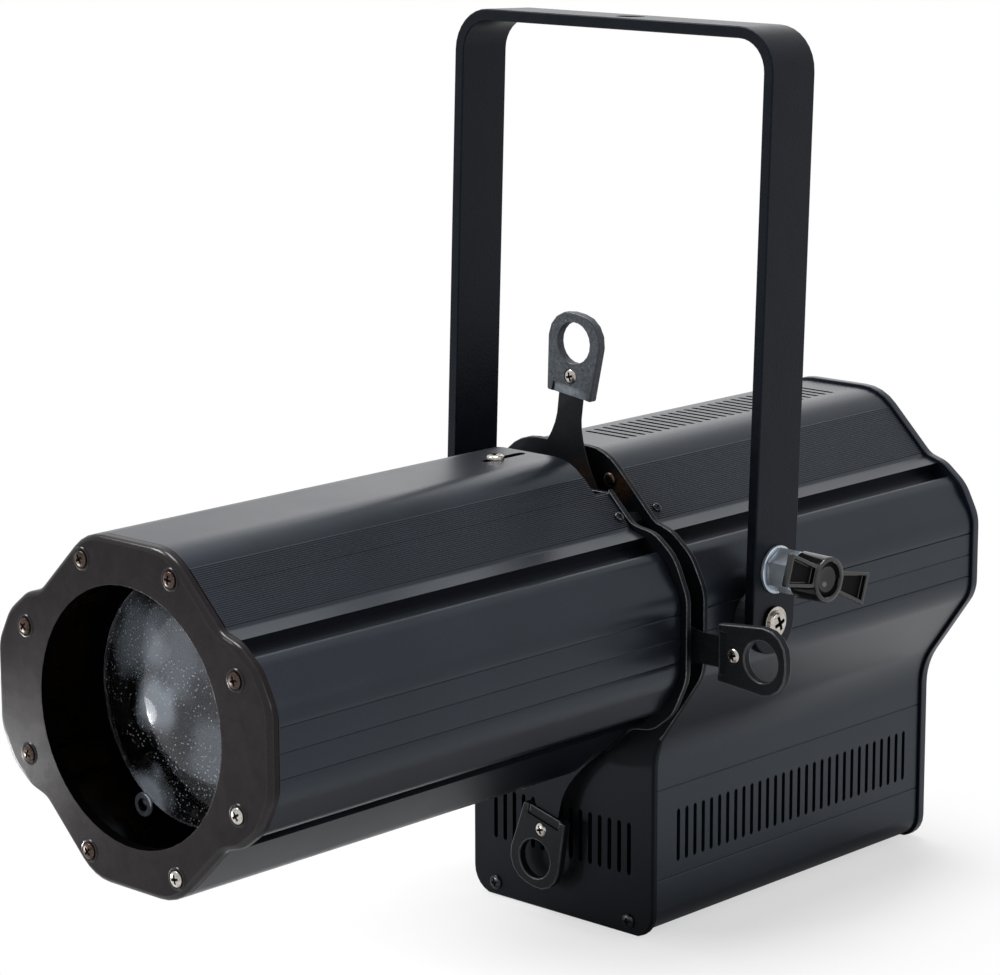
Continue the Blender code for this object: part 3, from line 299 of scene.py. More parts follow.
def rusted(tree, where, colour, spot):
    """Mixes brown rust into a colour round a spot, thinning outward in fine crumbs."""
    x, y, z, radius = spot
    centre = Vector((x, y, AXIS_Z + z)) * MM
    away = add_node(tree, "VectorMath", {0: where, 1: centre}, operation="DISTANCE")
    reach = {
        "Value": away.outputs["Value"],
        "From Min": RUST_FULL * radius * MM,
        "From Max": RUST_END * radius * MM,
        "To Min": RUST_SHARE,
        "To Max": 0.0,
    }
    near = add_node(tree, "MapRange", reach)
    crumbled = {"Vector": where, "Scale": per_metre(RUST_GRAIN), "Detail": 4.0}
    crumbs = add_node(tree, "TexNoise", crumbled)
    ragged = add_node(tree, "MapRange", {"Value": crumbs, **RUST_CRUMBS})
    share = add_node(tree, "Math", {0: near, 1: ragged}, operation="MULTIPLY")
    return add_node(tree, "MixRGB", {"Fac": share, "Color1": colour, "Color2": linear(RUST)})


DARK_AT, LIGHT_AT = 0.1, 0.45  # of drift times grit
GLOSS_DRIFT = 0.05


def coated(
    name, dark, light, rough, grain, bump,
    ior=None, metal=0.0, cloud=40.0, sheen="#ffffff", rust=None,
):
    """A grained coat: colour that drifts over a cloud size, a grain in relief, a tinted sheen.

    Grains finer than half a millimetre wouldn't show in the render and are drawn coarser.
    """
    made, tree, where, surface = blank(name)
    drifting = {"Vector": where, "Scale": per_metre(cloud), "Detail": 3.0, "Roughness": 0.6}
    drift = add_node(tree, "TexNoise", drifting)
    gritty = {"Vector": where, "Scale": per_metre(grain), "Detail": 2.0, "Roughness": 0.5}
    grit = add_node(tree, "TexNoise", gritty)
    both = add_node(tree, "Math", {0: drift, 1: grit}, operation="MULTIPLY")
    colour = add_node(tree, "ValToRGB", {"Fac": both})
    first, last = colour.color_ramp.elements
    first.position, first.color = DARK_AT, linear(dark)
    last.position, last.color = LIGHT_AT, linear(light)
    glossy = {"Value": drift, "To Min": rough - GLOSS_DRIFT, "To Max": rough + GLOSS_DRIFT}
    raised = {"Height": grit, "Strength": 0.5, "Distance": bump * MM}
    looks = {
        "Base Color": rusted(tree, where, colour, rust) if rust else colour,
        "Roughness": add_node(tree, "MapRange", glossy),
        "Normal": add_node(tree, "Bump", raised),
        "Metallic": metal,
        "Specular Tint": linear(sheen),
    }
    if ior:
        looks["IOR"] = ior
    shader = add_node(tree, "BsdfPrincipled", looks)
    tree.links.new(shader.outputs["BSDF"], surface)
    return made


COOL = "#d6e8ff"  # sheen of the black paints, which mirrors cold light

# Polyester powder on aluminium: satin black, cool, with a fine sprayed grain
COAT = coated(
    "black_powder_coat", "#06080c", "#12151d", rough=0.3, grain=0.9, bump=0.06, ior=1.42, sheen=COOL
)
# Dyed anodised plate: black with a warm mottled cast, a little smoother than the powder
BEZEL_COAT = coated(
    "brown_black_anodise", "#0e090c", "#1f171d",
    rough=0.25, grain=0.5, bump=0.03, ior=1.22, cloud=9.0,
)
# Stoved matt paint on the gate's plates, darkened to the deepest black as painted shade in the gap
# and under the barrel, so that the gap reads as a gap
PLATE_PAINT_AND_SHADE = coated(
    "gate_plate_paint_and_shade", "#040506", "#0a0b0e",
    rough=0.45, grain=0.6, bump=0.03, ior=1.22, sheen=COOL, rust=PLATE_RUST,
)
# The bezel's rolled edge, rubbed smooth: a thin light line along the contour
ROLL_COAT = coated(
    "rolled_anodise", "#0e0b0d", "#1c171a", rough=0.2, grain=0.5, bump=0.01, ior=1.34
)
# Dead matt black in the mouth and round the lenses, which swallows stray light
FLOCK = coated("optical_black", "#020202", "#050505", rough=0.8, grain=0.5, bump=0.02, ior=1.06)
# Thin black wash on the bare bore of the barrel: brown-black with a soft shine
BORE_COAT = coated(
    "bore_black", "#0a0705", "#1f150d", rough=0.28, grain=0.7, bump=0.03, ior=1.45, cloud=25.0
)
# Powder on bent steel bar: black with a fine orange peel that catches the light
YOKE_COAT = coated(
    "yoke_powder_coat", "#030407", "#0e1116",
    rough=0.36, grain=1.1, bump=0.14, ior=1.24, sheen=COOL, cloud=12.0,
)
# Milled plate edge that shows through thin coat: a narrow light grey line
EDGE = coated(
    "worn_plate_edge", "#26272a", "#737479",
    rough=0.36, grain=0.8, bump=0.02, metal=0.75, cloud=14.0,
)
# Moulded nylon of the handles: matt black with a sandy spark-eroded grain
NYLON = coated(
    "glass_filled_nylon", "#0a0b0d", "#1b1e22", rough=0.5, grain=0.6, bump=0.14, ior=1.2, cloud=1.6
)
# The upper handle: the same grain in charcoal grey, a lighter copy of the nylon as painted light
LIT_COPY_NYLON = coated(
    "nylon_with_painted_light", "#2b3035", "#5b6168", rough=0.55, grain=0.6, bump=0.14, ior=1.3, cloud=1.6
)
# Rounded edges of a handle, rubbed by fingers: smoother, and lighter as a painted highlight, so
# they carry a thin light line
RUBBED_NYLON_HIGHLIGHT = coated(
    "rubbed_nylon_painted_highlight", "#1c1f22", "#3c4147", rough=0.3, grain=1.5, bump=0.03, ior=1.45, cloud=8.0
)
# Step at the root of the upper handle, smooth from the mould, and paler than the sandy faces as
# painted light
STEP_NYLON_PAINTED_LIGHT = coated(
    "smooth_nylon_painted_light", "#4d555e", "#7d8792", rough=0.4, grain=1.5, bump=0.02, ior=1.4, cloud=8.0
)
# Moulded ABS of the knobs and buttons: near black and shiny, with faint moulding marks
KNOB_ABS = coated(
    "polished_abs", "#08090a", "#131315", rough=0.13, grain=3.0, bump=0.02, ior=1.5, cloud=9.0
)
# Floor of the pockets in the knob's wings, matt from the mould and darkened as painted shade: the
# darkest part of the knob
POCKET_SHADE_ABS = coated(
    "pocket_abs_painted_shade", "#050506", "#0c0c0d", rough=0.55, grain=0.8, bump=0.04, ior=1.15, cloud=9.0
)
# Plain moulded ABS of the rear fittings: soft black with a fine grain
ABS = coated(
    "black_abs", "#101113", "#1c1d20", rough=0.45, grain=0.6, bump=0.06, ior=1.46, cloud=12.0
)
# Nickel plate on screws: warm silver, with small brightness changes
NICKEL = coated(
    "bright_nickel", "#9b968e", "#cfcac3", rough=0.2, grain=0.8, bump=0.015, metal=1.0, cloud=3.0
)
# Satin chrome plate on the knob's collar: cold silver with soft reflections, hardly any grain
CHROME = coated(
    "satin_chrome", "#a9b3bd", "#ccd5dd", rough=0.36, grain=6.0, bump=0.0005, metal=0.8, cloud=20.0
)
# Dark bronze zinc plate on screws of the bezel and the gate: brown metal, with painted shade in the
# cross of the head
BRONZE = coated(
    "bronzed_zinc", "#241d1a", "#64544b", rough=0.3, grain=0.7, bump=0.03, metal=1.0, cloud=3.0
)
# Black chromated zinc on the small screws: dark metal with a sharp glint
BLACK_ZINC = coated(
    "black_zinc", "#17181b", "#4c4d52", rough=0.22, grain=0.7, bump=0.02, metal=1.0, cloud=2.0
)
# Zinc plate on the washers that hold the lens: blue-grey silver
WASHER = coated(
    "washer_steel", "#8a98a6", "#c3ced8", rough=0.42, grain=0.8, bump=0.02, metal=0.7, cloud=3.0
)
# Painted shade in the cross of a screw, where no light comes back: near black
RECESS_SHADE = coated("recess_shadow", "#08080a", "#17171a", rough=0.6, grain=0.6, bump=0.02, ior=1.15)
# Thin blade steel, blackened: blue-black with a dull sheen
BLADE = coated(
    "blackened_steel", "#0a0c0f", "#1a1c20",
    rough=0.4, grain=1.2, bump=0.01, ior=1.2, cloud=30.0, rust=BLADE_RUST,
)
# Bare aluminium as it leaves the die: pale grey with a dull sheen
ALUMINIUM = coated(
    "mill_aluminium", "#8b8d90", "#b3b5b8", rough=0.4, grain=0.9, bump=0.02, metal=1.0, cloud=15.0
)
# Epoxy board under green resist: glossy, with a faint weave-sized mottle
BOARD = coated(
    "green_solder_resist", "#0d3a1f", "#1a5a31", rough=0.3, grain=0.8, bump=0.02, ior=1.5, cloud=5.0
)
# Dark acrylic window in front of the display: deep black with a clean reflection
WINDOW = coated(
    "smoked_acrylic", "#050607", "#0a0b0d", rough=0.12, grain=4.0, bump=0.004, ior=1.49, cloud=30.0
)

BLOOMED_IOR = 1.25  # coated glass turns back as little light as this
BLOOM = "#dfe4ff"
NOISE_MIDDLE = {"From Min": 0.3, "From Max": 0.7}  # where nearly all of a noise lies


def glass(name, tint, haze, smoothest, roughest):
    """Clear glass with an anti-reflection coat and haze in patches of a size."""
    made, tree, where, surface = blank(name)
    breath = add_node(tree, "TexNoise", {"Vector": where, "Scale": per_metre(haze), "Detail": 3.0})
    hazy = {"Value": breath, **NOISE_MIDDLE, "To Min": smoothest, "To Max": roughest}
    looks = {
        "Base Color": linear(tint),
        "Roughness": add_node(tree, "MapRange", hazy),
        "Transmission Weight": 1.0,
        "IOR": BLOOMED_IOR,
        "Specular Tint": linear(BLOOM),
        "Coat Weight": 0.35,
        "Coat Roughness": 0.14,
        "Coat IOR": 1.4,
    }
    shader = add_node(tree, "BsdfPrincipled", looks)
    tree.links.new(shader.outputs["BSDF"], surface)
    return made, tree, where, shader


PATCH_DRIFT = 16.0
PATCH_RAGGED = 3.5  # by which a patch's edge comes and goes
PATCH_FULL, PATCH_END = 0.4, 1.25  # shares of a patch's radius


def painted_lens_reflections(tree, where):
    """Painted reflections: pale patches with soft uneven edges, each at its own place on the back
    of the lens.
    """
    drifting = {"Vector": where, "Scale": per_metre(PATCH_DRIFT), "Detail": 1.0}
    drift = add_node(tree, "TexNoise", drifting)
    uneven = {"To Min": -PATCH_RAGGED * MM, "To Max": PATCH_RAGGED * MM}
    ragged = add_node(tree, "MapRange", {"Value": drift, **NOISE_MIDDLE, **uneven})
    total = 0.0
    for x, z, radius, strength in PAINTED_LENS_REFLECTIONS:
        centre = Vector((x, LENS_HIGH.y, z)) * MM
        away = add_node(tree, "VectorMath", {0: where, 1: centre}, operation="DISTANCE")
        both = {0: away.outputs["Value"], 1: ragged}
        fall = {
            "Value": add_node(tree, "Math", both, operation="ADD"),
            "From Min": PATCH_FULL * radius * MM,
            "From Max": PATCH_END * radius * MM,
            "To Min": strength,
            "To Max": 0.0,
        }
        patch = add_node(tree, "MapRange", fall, interpolation_type="SMOOTHSTEP")
        total = add_node(tree, "Math", {0: total, 1: patch}, operation="ADD")
    return total


# White specks along a band on the back of the lens: painted glints
SPECK_PITCH = 1.6
SPECK_SIZE = {"From Min": 0.09, "From Max": 0.25, "To Min": 1.0, "To Max": 0.0}
BAND_TURN = 48  # degrees
BAND_STRETCH = 0.35
BAND_W = 16.0
BAND_EDGE = {"From Min": 0.38, "From Max": 0.54, "To Max": 0.9}
PALEST = 0.95


def lens_clearness(tree, where):
    """1 where the back of the lens is clear, less at the painted glints and the painted
    reflections.
    """
    grains = add_node(tree, "TexVoronoi", {"Vector": where, "Scale": per_metre(SPECK_PITCH)})
    speck = add_node(tree, "MapRange", {"Value": grains, **SPECK_SIZE})
    turn = (0, math.radians(BAND_TURN), 0)
    stretched = {"Vector": where, "Rotation": turn, "Scale": (BAND_STRETCH, 1, 1)}
    along = add_node(tree, "Mapping", stretched)
    drifting = {"Vector": along, "Scale": per_metre(BAND_W), "Detail": 3.0}
    drift = add_node(tree, "TexNoise", drifting)
    band = add_node(tree, "MapRange", {"Value": drift, **BAND_EDGE})
    strewn = add_node(tree, "Math", {0: speck, 1: band}, operation="MULTIPLY")
    patches = painted_lens_reflections(tree, where)
    pale = add_node(tree, "Math", {0: strewn, 1: patches}, operation="ADD")
    held = add_node(tree, "Math", {0: pale, 1: PALEST}, operation="MINIMUM")
    return add_node(tree, "Math", {0: 1.0, 1: held}, operation="SUBTRACT")


def glass_with_painted_glints():
    """Flat back of the front lens: clear, with white specks along a band as painted glints and a
    few pale patches as painted reflections.
    """
    made, tree, where, shader = glass(
        "glass_with_painted_glints", "#d6deef", haze=9.0, smoothest=0.02, roughest=0.05
    )
    clear = lens_clearness(tree, where)
    tree.links.new(clear.outputs["Value"], shader.inputs["Transmission Weight"])
    return made


# Polished coated glass: dark and clear, with a faint blue sheen and a trace of haze
GLASS = glass("bloomed_glass", "#f4f8f6", haze=14.0, smoothest=0.0, roughest=0.02)[0]
LENS_BACK = glass_with_painted_glints()


def shaded(mesh, angle=SMOOTH):
    """Smooth shading that breaks at corners sharper than an angle."""
    mesh.polygons.foreach_set("use_smooth", [True] * len(mesh.polygons))
    mesh.set_sharp_from_angle(angle=math.radians(angle))
    return mesh


def add_object(name, data):
    """A new object in the scene."""
    made = bpy.data.objects.new(name, data)
    bpy.context.scene.collection.objects.link(made)
    return made


def piece(name, mesh, body, finish, nodes=()):
    """Shows a mesh as a named piece that rides on a body and may stand for CAD nodes."""
    made = add_object(name, mesh)
    if not mesh.materials:
        for one in finish if isinstance(finish, list) else [finish]:
            mesh.materials.append(one)
    made.modifiers.new("even_shading", "WEIGHTED_NORMAL").keep_sharp = True
    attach(made, body)
    if nodes:
        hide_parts(*nodes)


def to_mesh(work, name, angle=SMOOTH):
    """Ends a bmesh in millimetres as a shaded mesh in metres."""
    bmesh.ops.recalc_face_normals(work, faces=work.faces)
    bmesh.ops.scale(work, vec=[MM] * 3, verts=work.verts)
    mesh = bpy.data.meshes.new(name)
    work.to_mesh(mesh)
    work.free()
    return shaded(mesh, angle)


def from_node(node):
    """A CAD node's solid in millimetres, welded and with its flat faces joined."""
    work = bmesh.new()
    work.from_mesh(NODES[node].data)
    bmesh.ops.remove_doubles(work, verts=work.verts, dist=WELD)
    bmesh.ops.scale(work, vec=[1 / MM] * 3, verts=work.verts)
    flat = math.radians(FLAT)
    bmesh.ops.dissolve_limit(work, angle_limit=flat, verts=work.verts, edges=work.edges)
    return work


def sharp_edges(work, wanted=None):
    """Edges at sharp corners, all or those that pass a test."""
    limit = math.radians(SHARP)
    found = [e for e in work.edges if e.calc_face_angle(0) > limit]
    return [e for e in found if wanted is None or wanted(e)]


def round_edges(work, edges, width, segments, finish):
    """Rounds edges with a finish by its number; -1 takes it from the faces beside them."""
    bmesh.ops.bevel(
        work,
        geom=edges,
        offset=width,
        segments=segments,
        profile=0.5,
        affect="EDGES",
        material=finish,
    )


def eased(name, node, finish, roundings=(), angle=SMOOTH, recoat=None):
    """A CAD node with edges rounded in turn, each a (width, segments, test, finish or None)."""
    work = from_node(node)
    finishes = [finish]
    for width, segments, wanted, coat in roundings:
        if coat:
            finishes.append(coat)
        number = len(finishes) - 1 if coat else -1
        round_edges(work, sharp_edges(work, wanted), width, segments, number)
    if recoat:
        test, coat = recoat
        finishes.append(coat)
        for face in work.faces:
            if test(face):
                face.material_index = len(finishes) - 1
    mesh = to_mesh(work, name, angle)
    piece(name, mesh, NODES[node]["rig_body"], finishes, [node])


def turned(work, profile, steps=32, way=None):
    """Turns a profile of (radius, height), from top to bottom, round Z into a bmesh."""
    way = way or Matrix.Identity(4)
    rings = []
    for radius, height in profile:
        if radius <= 0:
            rings.append([work.verts.new(way @ Vector((0, 0, height)))])
            continue
        ring = []
        for i in range(steps):
            angle = 2 * math.pi * (i + 0.5) / steps
            point = Vector((radius * math.cos(angle), radius * math.sin(angle), height))
            ring.append(work.verts.new(way @ point))
        rings.append(ring)
    pairs = list(zip(rings, rings[1:]))
    if len(rings[0]) > 1 and len(rings[-1]) > 1:
        pairs.append((rings[-1], rings[0]))
    for above, below in pairs:
        up, down = len(above), len(below)
        for i in range(steps):
            j = (i + 1) % steps
            corners = [above[i % up], below[i % down], below[j % down], above[j % up]]
            work.faces.new(list(dict.fromkeys(corners)))
    return work


def stitch(work, above, below):
    """Joins two rows of corners by faces, all the way round."""
    for i in range(len(above)):
        j = (i + 1) % len(above)
        work.faces.new((above[i], above[j], below[j], below[i]))


def facing(place, normal, spin=0.0):
    """Turns +Z to a normal at a place, after a spin round it in degrees."""
    turn = Vector(UPWARD).rotation_difference(Vector(normal)).to_matrix().to_4x4()
    return Matrix.Translation(Vector(place)) @ turn @ Matrix.Rotation(math.radians(spin), 4, "Z")


def dome(radius, height, rise, steps=5):
    """Head of a screw from its top to its foot: a flattened crown over a short wall."""
    points = []
    for i in range(steps + 1):
        angle = math.pi / 2 * i / steps
        points.append((radius * math.sin(angle), height - rise * (1 - math.cos(angle))))
    return [*points, (radius, 0)]


def cross_tool(reach, width, depth, top):
    """A cross that narrows with depth, to sink into the head of a screw."""
    half = width / 2
    arm = [(reach, -half), (reach, half), (half, half)]
    outline = []
    for _ in range(4):
        outline += arm
        arm = [(-v, u) for u, v in arm]
    work = bmesh.new()
    above = [work.verts.new((u, v, top)) for u, v in outline]
    narrow = [(u * CROSS_TAPER, v * CROSS_TAPER) for u, v in outline]
    below = [work.verts.new((u, v, top - depth)) for u, v in narrow]
    work.faces.new(above)
    work.faces.new(list(reversed(below)))
    stitch(work, below, above)
    return to_mesh(work, "cross_tool")


@functools.cache
def screw_mesh(radius, height, shank=0.0, washer=0.0, washer_t=0.0, spring=False):
    """A cross-head screw with its foot at z = 0, made once for each size."""
    lift = washer_t * (2 if spring else 1)
    crown = [(r, h + lift) for r, h in dome(radius, height, height * CROWN_RISE)]
    foot = [(washer, lift), (washer, lift - washer_t)] if washer else []
    if spring:
        inner = washer * SPRING_R
        foot += [(inner, lift - washer_t), (inner, 0)]
    stem = [(radius * SHANK_R, 0), (radius * SHANK_R, -shank), (0, -shank)]
    head = to_mesh(turned(bmesh.new(), [*crown, *foot, *stem]), "cross_screw")
    top = height + lift + CROSS_OVER
    recess = cross_tool(radius * CROSS_REACH, radius * CROSS_WIDTH, height * CROSS_DEPTH, top)
    recess.polygons.foreach_set("material_index", [1] * len(recess.polygons))
    for mesh in (head, recess):
        mesh.materials.append(BRONZE)
        mesh.materials.append(RECESS_SHADE)
    holder = add_object("screw_blank", head)
    tool = add_object("cross_tool", recess)
    cut = holder.modifiers.new("recess", "BOOLEAN")
    cut.solver = "EXACT"
    cut.object = tool
    graph = bpy.context.evaluated_depsgraph_get()
    made = bpy.data.meshes.new_from_object(holder.evaluated_get(graph))
    for one in (holder, tool):
        bpy.data.objects.remove(one)
    return shaded(made)


def screw(name, body, place, normal, mesh, finish, spin, nodes=()):
    """Sets a copy of a screw on a surface, its cross turned by a spin in degrees."""
    made = mesh.copy()
    made.materials[0] = finish
    made.transform(facing(Vector(place) * MM, normal, spin))
    piece(name, made, body, finish, nodes)


def make_ribs(name, side, first, count, low, high):
    """A thin strip of rounded ribs on a slope, its back let into the wall."""
    along = SLOPE.normalized()
    out = Vector((-along.y, along.x))
    section = []
    for i in range(count * RIB_STEPS + 1):
        rise = RIB_HEIGHT * abs(math.sin(math.pi * i / RIB_STEPS)) ** RIB_ROUND
        foot = TOP_CORNER + along * (first + i * RIB_PITCH / RIB_STEPS)
        section.append(foot + out * (rise + RIB_FOOT))
    ends = [section[-1] - out * RIB_BACK, section[0] - out * RIB_BACK]
    work = bmesh.new()
    rows = []
    for y in (low, high):
        points = [(side * p.x, y, p.y + AXIS_Z) for p in (*section, *ends)]
        rows.append([work.verts.new(point) for point in points])
    stitch(work, *rows)
    for row in rows:
        work.faces.new(row)
    piece(name, to_mesh(work, name, RIB_SMOOTH), "body", COAT)


def make_slopes():
    """Ribs on the slopes of the barrel and the body; the notch ends the upper ones early."""
    split = (NOTCH_X - TOP_CORNER.x) / SLOPE.x * SLOPE.length
    first = split - RIBS_ABOVE * RIB_PITCH
    both = RIBS_ABOVE + RIBS_BELOW
    front, rear = BARREL_LOW.y, BARREL_HIGH.y
    for name, side in SIDES:
        make_ribs(f"{name}_upper_barrel_ribs", side, first, RIBS_ABOVE, front, rear - NOTCH_L)
        make_ribs(f"{name}_lower_barrel_ribs", side, split, RIBS_BELOW, front, rear)
        make_ribs(f"{name}_body_ribs", side, first, both, HOUSING_LOW.y, HOUSING_HIGH.y)


def axis_distance(point):
    """Distance of a point from the optical axis."""
    return math.hypot(point.x, point.z - AXIS_Z)


def midpoint(edge):
    """The middle of an edge."""
    return (edge.verts[0].co + edge.verts[1].co) / 2


def on_face_rim(edge):
    """An edge between a face across the optical axis and a wall along it."""
    across = sorted(abs(face.normal.y) for face in edge.link_faces)
    return across[0] < WALL_Y and across[1] > FACE_Y


def bezel_outline(edge):
    """The front edge all round the bezel, which is rolled over."""
    middle = midpoint(edge)
    outside = axis_distance(middle) > MOUTH_R + MOUTH_EDGE
    return on_face_rim(edge) and middle.y < BEZEL_FRONT + 1 and outside


def bezel_mouth(edge):
    """The edges of the bezel's round opening, front and back."""
    return on_face_rim(edge) and axis_distance(midpoint(edge)) < MOUTH_R + MOUTH_EDGE


def inside_mouth(face):
    """The wall of the bezel's round opening."""
    near = axis_distance(face.calc_center_median()) < MOUTH_R + 0.3
    return abs(face.normal.y) < SIDE_Y and near


def faces_inward(face):
    """A wall that looks at the optical axis."""
    middle = face.calc_center_median()
    outward = face.normal.x * middle.x + face.normal.z * (middle.z - AXIS_Z)
    return abs(face.normal.y) < SIDE_Y and outward < 0


def upper_outline(edge):
    """The edges round a gate plate above the lower box, which are worn bright."""
    return on_face_rim(edge) and edge.verts[0].co.z - AXIS_Z > WORN_ABOVE


def box_outline(edge):
    """The edges round the front of the lower box, which are only rounded off."""
    middle = midpoint(edge)
    height = middle.z - AXIS_Z
    in_slots = abs(middle.x) < SLOT_FIELD_X and SLOT_FIELD_LOW < height < SLOT_FIELD_HIGH
    in_front = middle.y < PLATE_FRONT + 0.5
    return on_face_rim(edge) and in_front and height < WORN_ABOVE and not in_slots


def slot_end(edge):
    """A corner at the end of a slot: straight through the wall, between two small faces."""
    way = (edge.verts[1].co - edge.verts[0].co).normalized()
    straight = max(abs(part) for part in way) > 0.99
    along = all(abs(face.normal.dot(way)) < 0.1 for face in edge.link_faces)
    small = all(face.calc_area() < SLOT_WALL_AREA for face in edge.link_faces)
    return edge.calc_length() < SLOT_CORNER_L and straight and along and small


def make_shells():
    """Extrusions and plates in their coats."""
    soft_slots = (0.5, 3, slot_end, None)
    dark_bore = (faces_inward, BORE_COAT)
    eased("barrel_shell", "barrel", COAT, angle=SHELL_SMOOTH, recoat=dark_bore)
    eased("body_shell", "rear_housing", COAT, (soft_slots,), angle=SHELL_SMOOTH)
    rolled = (2.4, 5, bezel_outline, ROLL_COAT)
    lip = (0.3, 2, bezel_mouth, None)
    dark = (inside_mouth, FLOCK)
    eased("bezel_plate", "front_bezel", BEZEL_COAT, (rolled, lip), recoat=dark)
    worn = (0.4, 2, upper_outline, EDGE)
    blunt = (1.2, 4, box_outline, None)
    eased("flange_plate", "barrel_flange", PLATE_PAINT_AND_SHADE, (worn,))
    eased("front_plate", "body_front_plate", PLATE_PAINT_AND_SHADE, (soft_slots, worn, blunt))
    eased("rear_plate", "rear_panel", COAT, ((0.6, 2, on_face_rim, None),))
    eased("yoke_bar", "yoke", YOKE_COAT, ((0.7, 3, None, None),))


def make_dimple(name, place):
    """Raised lip round a pressed screw seat."""
    work = turned(bmesh.new(), DIMPLE_LIP, 40, facing(place, FORWARD))
    piece(name, to_mesh(work, name), "body", ROLL_COAT)


def make_bezel_screws():
    """Eight pan heads in pressed seats; the two low ones on the right are bright."""
    head = screw_mesh(*BEZEL_HEAD)
    spots = itertools.product(BEZEL_SCREWS, (1, -1), (1, -1))
    for number, ((u, v), side_x, side_z) in enumerate(spots, 1):
        place = (side_x * u, BEZEL_FRONT, AXIS_Z + side_z * v)
        make_dimple(f"bezel_dimple_{number}", place)
        plated = NICKEL if side_x > 0 > side_z else BRONZE
        screw(f"bezel_screw_{number}", "body", place, FORWARD, head, plated, spin=17 * number)


def make_slope_screws():
    """Small screws on the slopes, next to the gate."""
    along = SLOPE.normalized()
    spot = TOP_CORNER + along * SLOPE_SCREW_AT
    head = screw_mesh(*SLOPE_HEAD)
    barrel_y, body_y = BARREL_HIGH.y - BARREL_SCREW_BACK, HOUSING_LOW.y + BODY_SCREW_BACK
    for part, y in (("barrel", barrel_y), ("body", body_y)):
        for side, sign in SIDES:
            normal = Vector((sign * -along.y, 0, along.x))
            place = Vector((sign * spot.x, y, AXIS_Z + spot.y)) + normal * RIB_HEIGHT
            name = f"{side}_{part}_slope_screw"
            screw(name, "body", place, normal, head, BLACK_ZINC, spin=25)


def make_plate_screws():
    """Screws of the front plate, the lower box and the rear panel."""
    head, box_head = screw_mesh(*PLATE_HEAD), screw_mesh(*BEZEL_HEAD)
    u, v = PLATE_SCREW
    for side, sign in SIDES:
        for level, height, plated in (("upper", v, BRONZE), ("lower", -v, BLACK_ZINC)):
            place = (sign * u, PLATE_FRONT, AXIS_Z + height)
            screw(f"{side}_{level}_gate_screw", "body", place, FORWARD, head, plated, spin=40)
        place = (sign * BOX_SCREW[0], PLATE_FRONT, AXIS_Z + BOX_SCREW[1])
        screw(f"{side}_box_screw", "body", place, FORWARD, box_head, BLACK_ZINC, spin=12)
        for i, (across, height) in enumerate(REAR_SCREWS):
            place = (sign * across, REAR_BACK, AXIS_Z + height)
            name = f"{side}_rear_screw_{i + 1}"
            screw(name, "body", place, BACKWARD, head, NICKEL, spin=30 * i)


def make_lens():
    """Crowned front, plain rim and flat back in one closed glass."""
    shares = [i / LENS_RINGS for i in range(LENS_RINGS + 1)]
    crown = [(LENS_R * share, LENS_T - LENS_CROWN * share**2) for share in shares]
    way = facing((0, LENS_HIGH.y, AXIS_Z), FORWARD)
    work = turned(bmesh.new(), [*crown, (LENS_R, 0), (0, 0)], 144, way)
    bmesh.ops.recalc_face_normals(work, faces=work.faces)
    for face in work.faces:
        face.material_index = 1 if face.normal.y > FACE_Y else 0
    mesh = to_mesh(work, "crowned_lens", LENS_SMOOTH)
    piece("crowned_lens", mesh, "body", [GLASS, LENS_BACK], ["front_lens"])


def knob_frame(side, spin=KNOB_TURN):
    """Place of a knob: its axis outward, wings along local X after a spin."""
    sign = 1 if side == "right" else -1
    joint = next(j for j in frame["joints"] if j["name"] == f"{side}_knob_turn")
    _, y, z = Vector(joint["pos_m"]) / MM
    turn = Matrix.Rotation(math.radians(spin), 4, "X")
    axes = Matrix(((0, 0, sign, 0), (sign, 0, 0, 0), (0, 1, 0, 0), (0, 0, 0, 1)))
    return Matrix.Translation((0, y, z)) @ turn @ axes, sign


def wing_tray(work, end, way, flip):
    """One wing: a tapered tray with a rim, open outward; its floor takes the second finish."""
    loops = []
    high = end - WING_SET
    slope = (WING_TIP - WING_ROOT) / (KNOB_SPAN - KNOB_HUB_R)
    outer = ((0.0, high - WING_W), (0.0, high))
    pocket = ((KNOB_RIM, high), (KNOB_RIM, high - POCKET_D))
    for rim, height in (*outer, *pocket):
        start = KNOB_HUB_R + POCKET_GAP if rim else KNOB_HUB_R * WING_START
        tip = KNOB_SPAN - rim
        low = WING_ROOT + slope * (start - KNOB_HUB_R) - rim
        far = WING_TIP - rim
        corners = [(start, -low), (tip, -far), (tip, far), (start, low)]
        points = [way @ Vector((flip * u, flip * v, height)) for u, v in corners]
        loops.append([work.verts.new(point) for point in points])
    work.faces.new(loops[0])
    work.faces.new(loops[-1]).material_index = 1
    for above, below in zip(loops, loops[1:]):
        stitch(work, above, below)


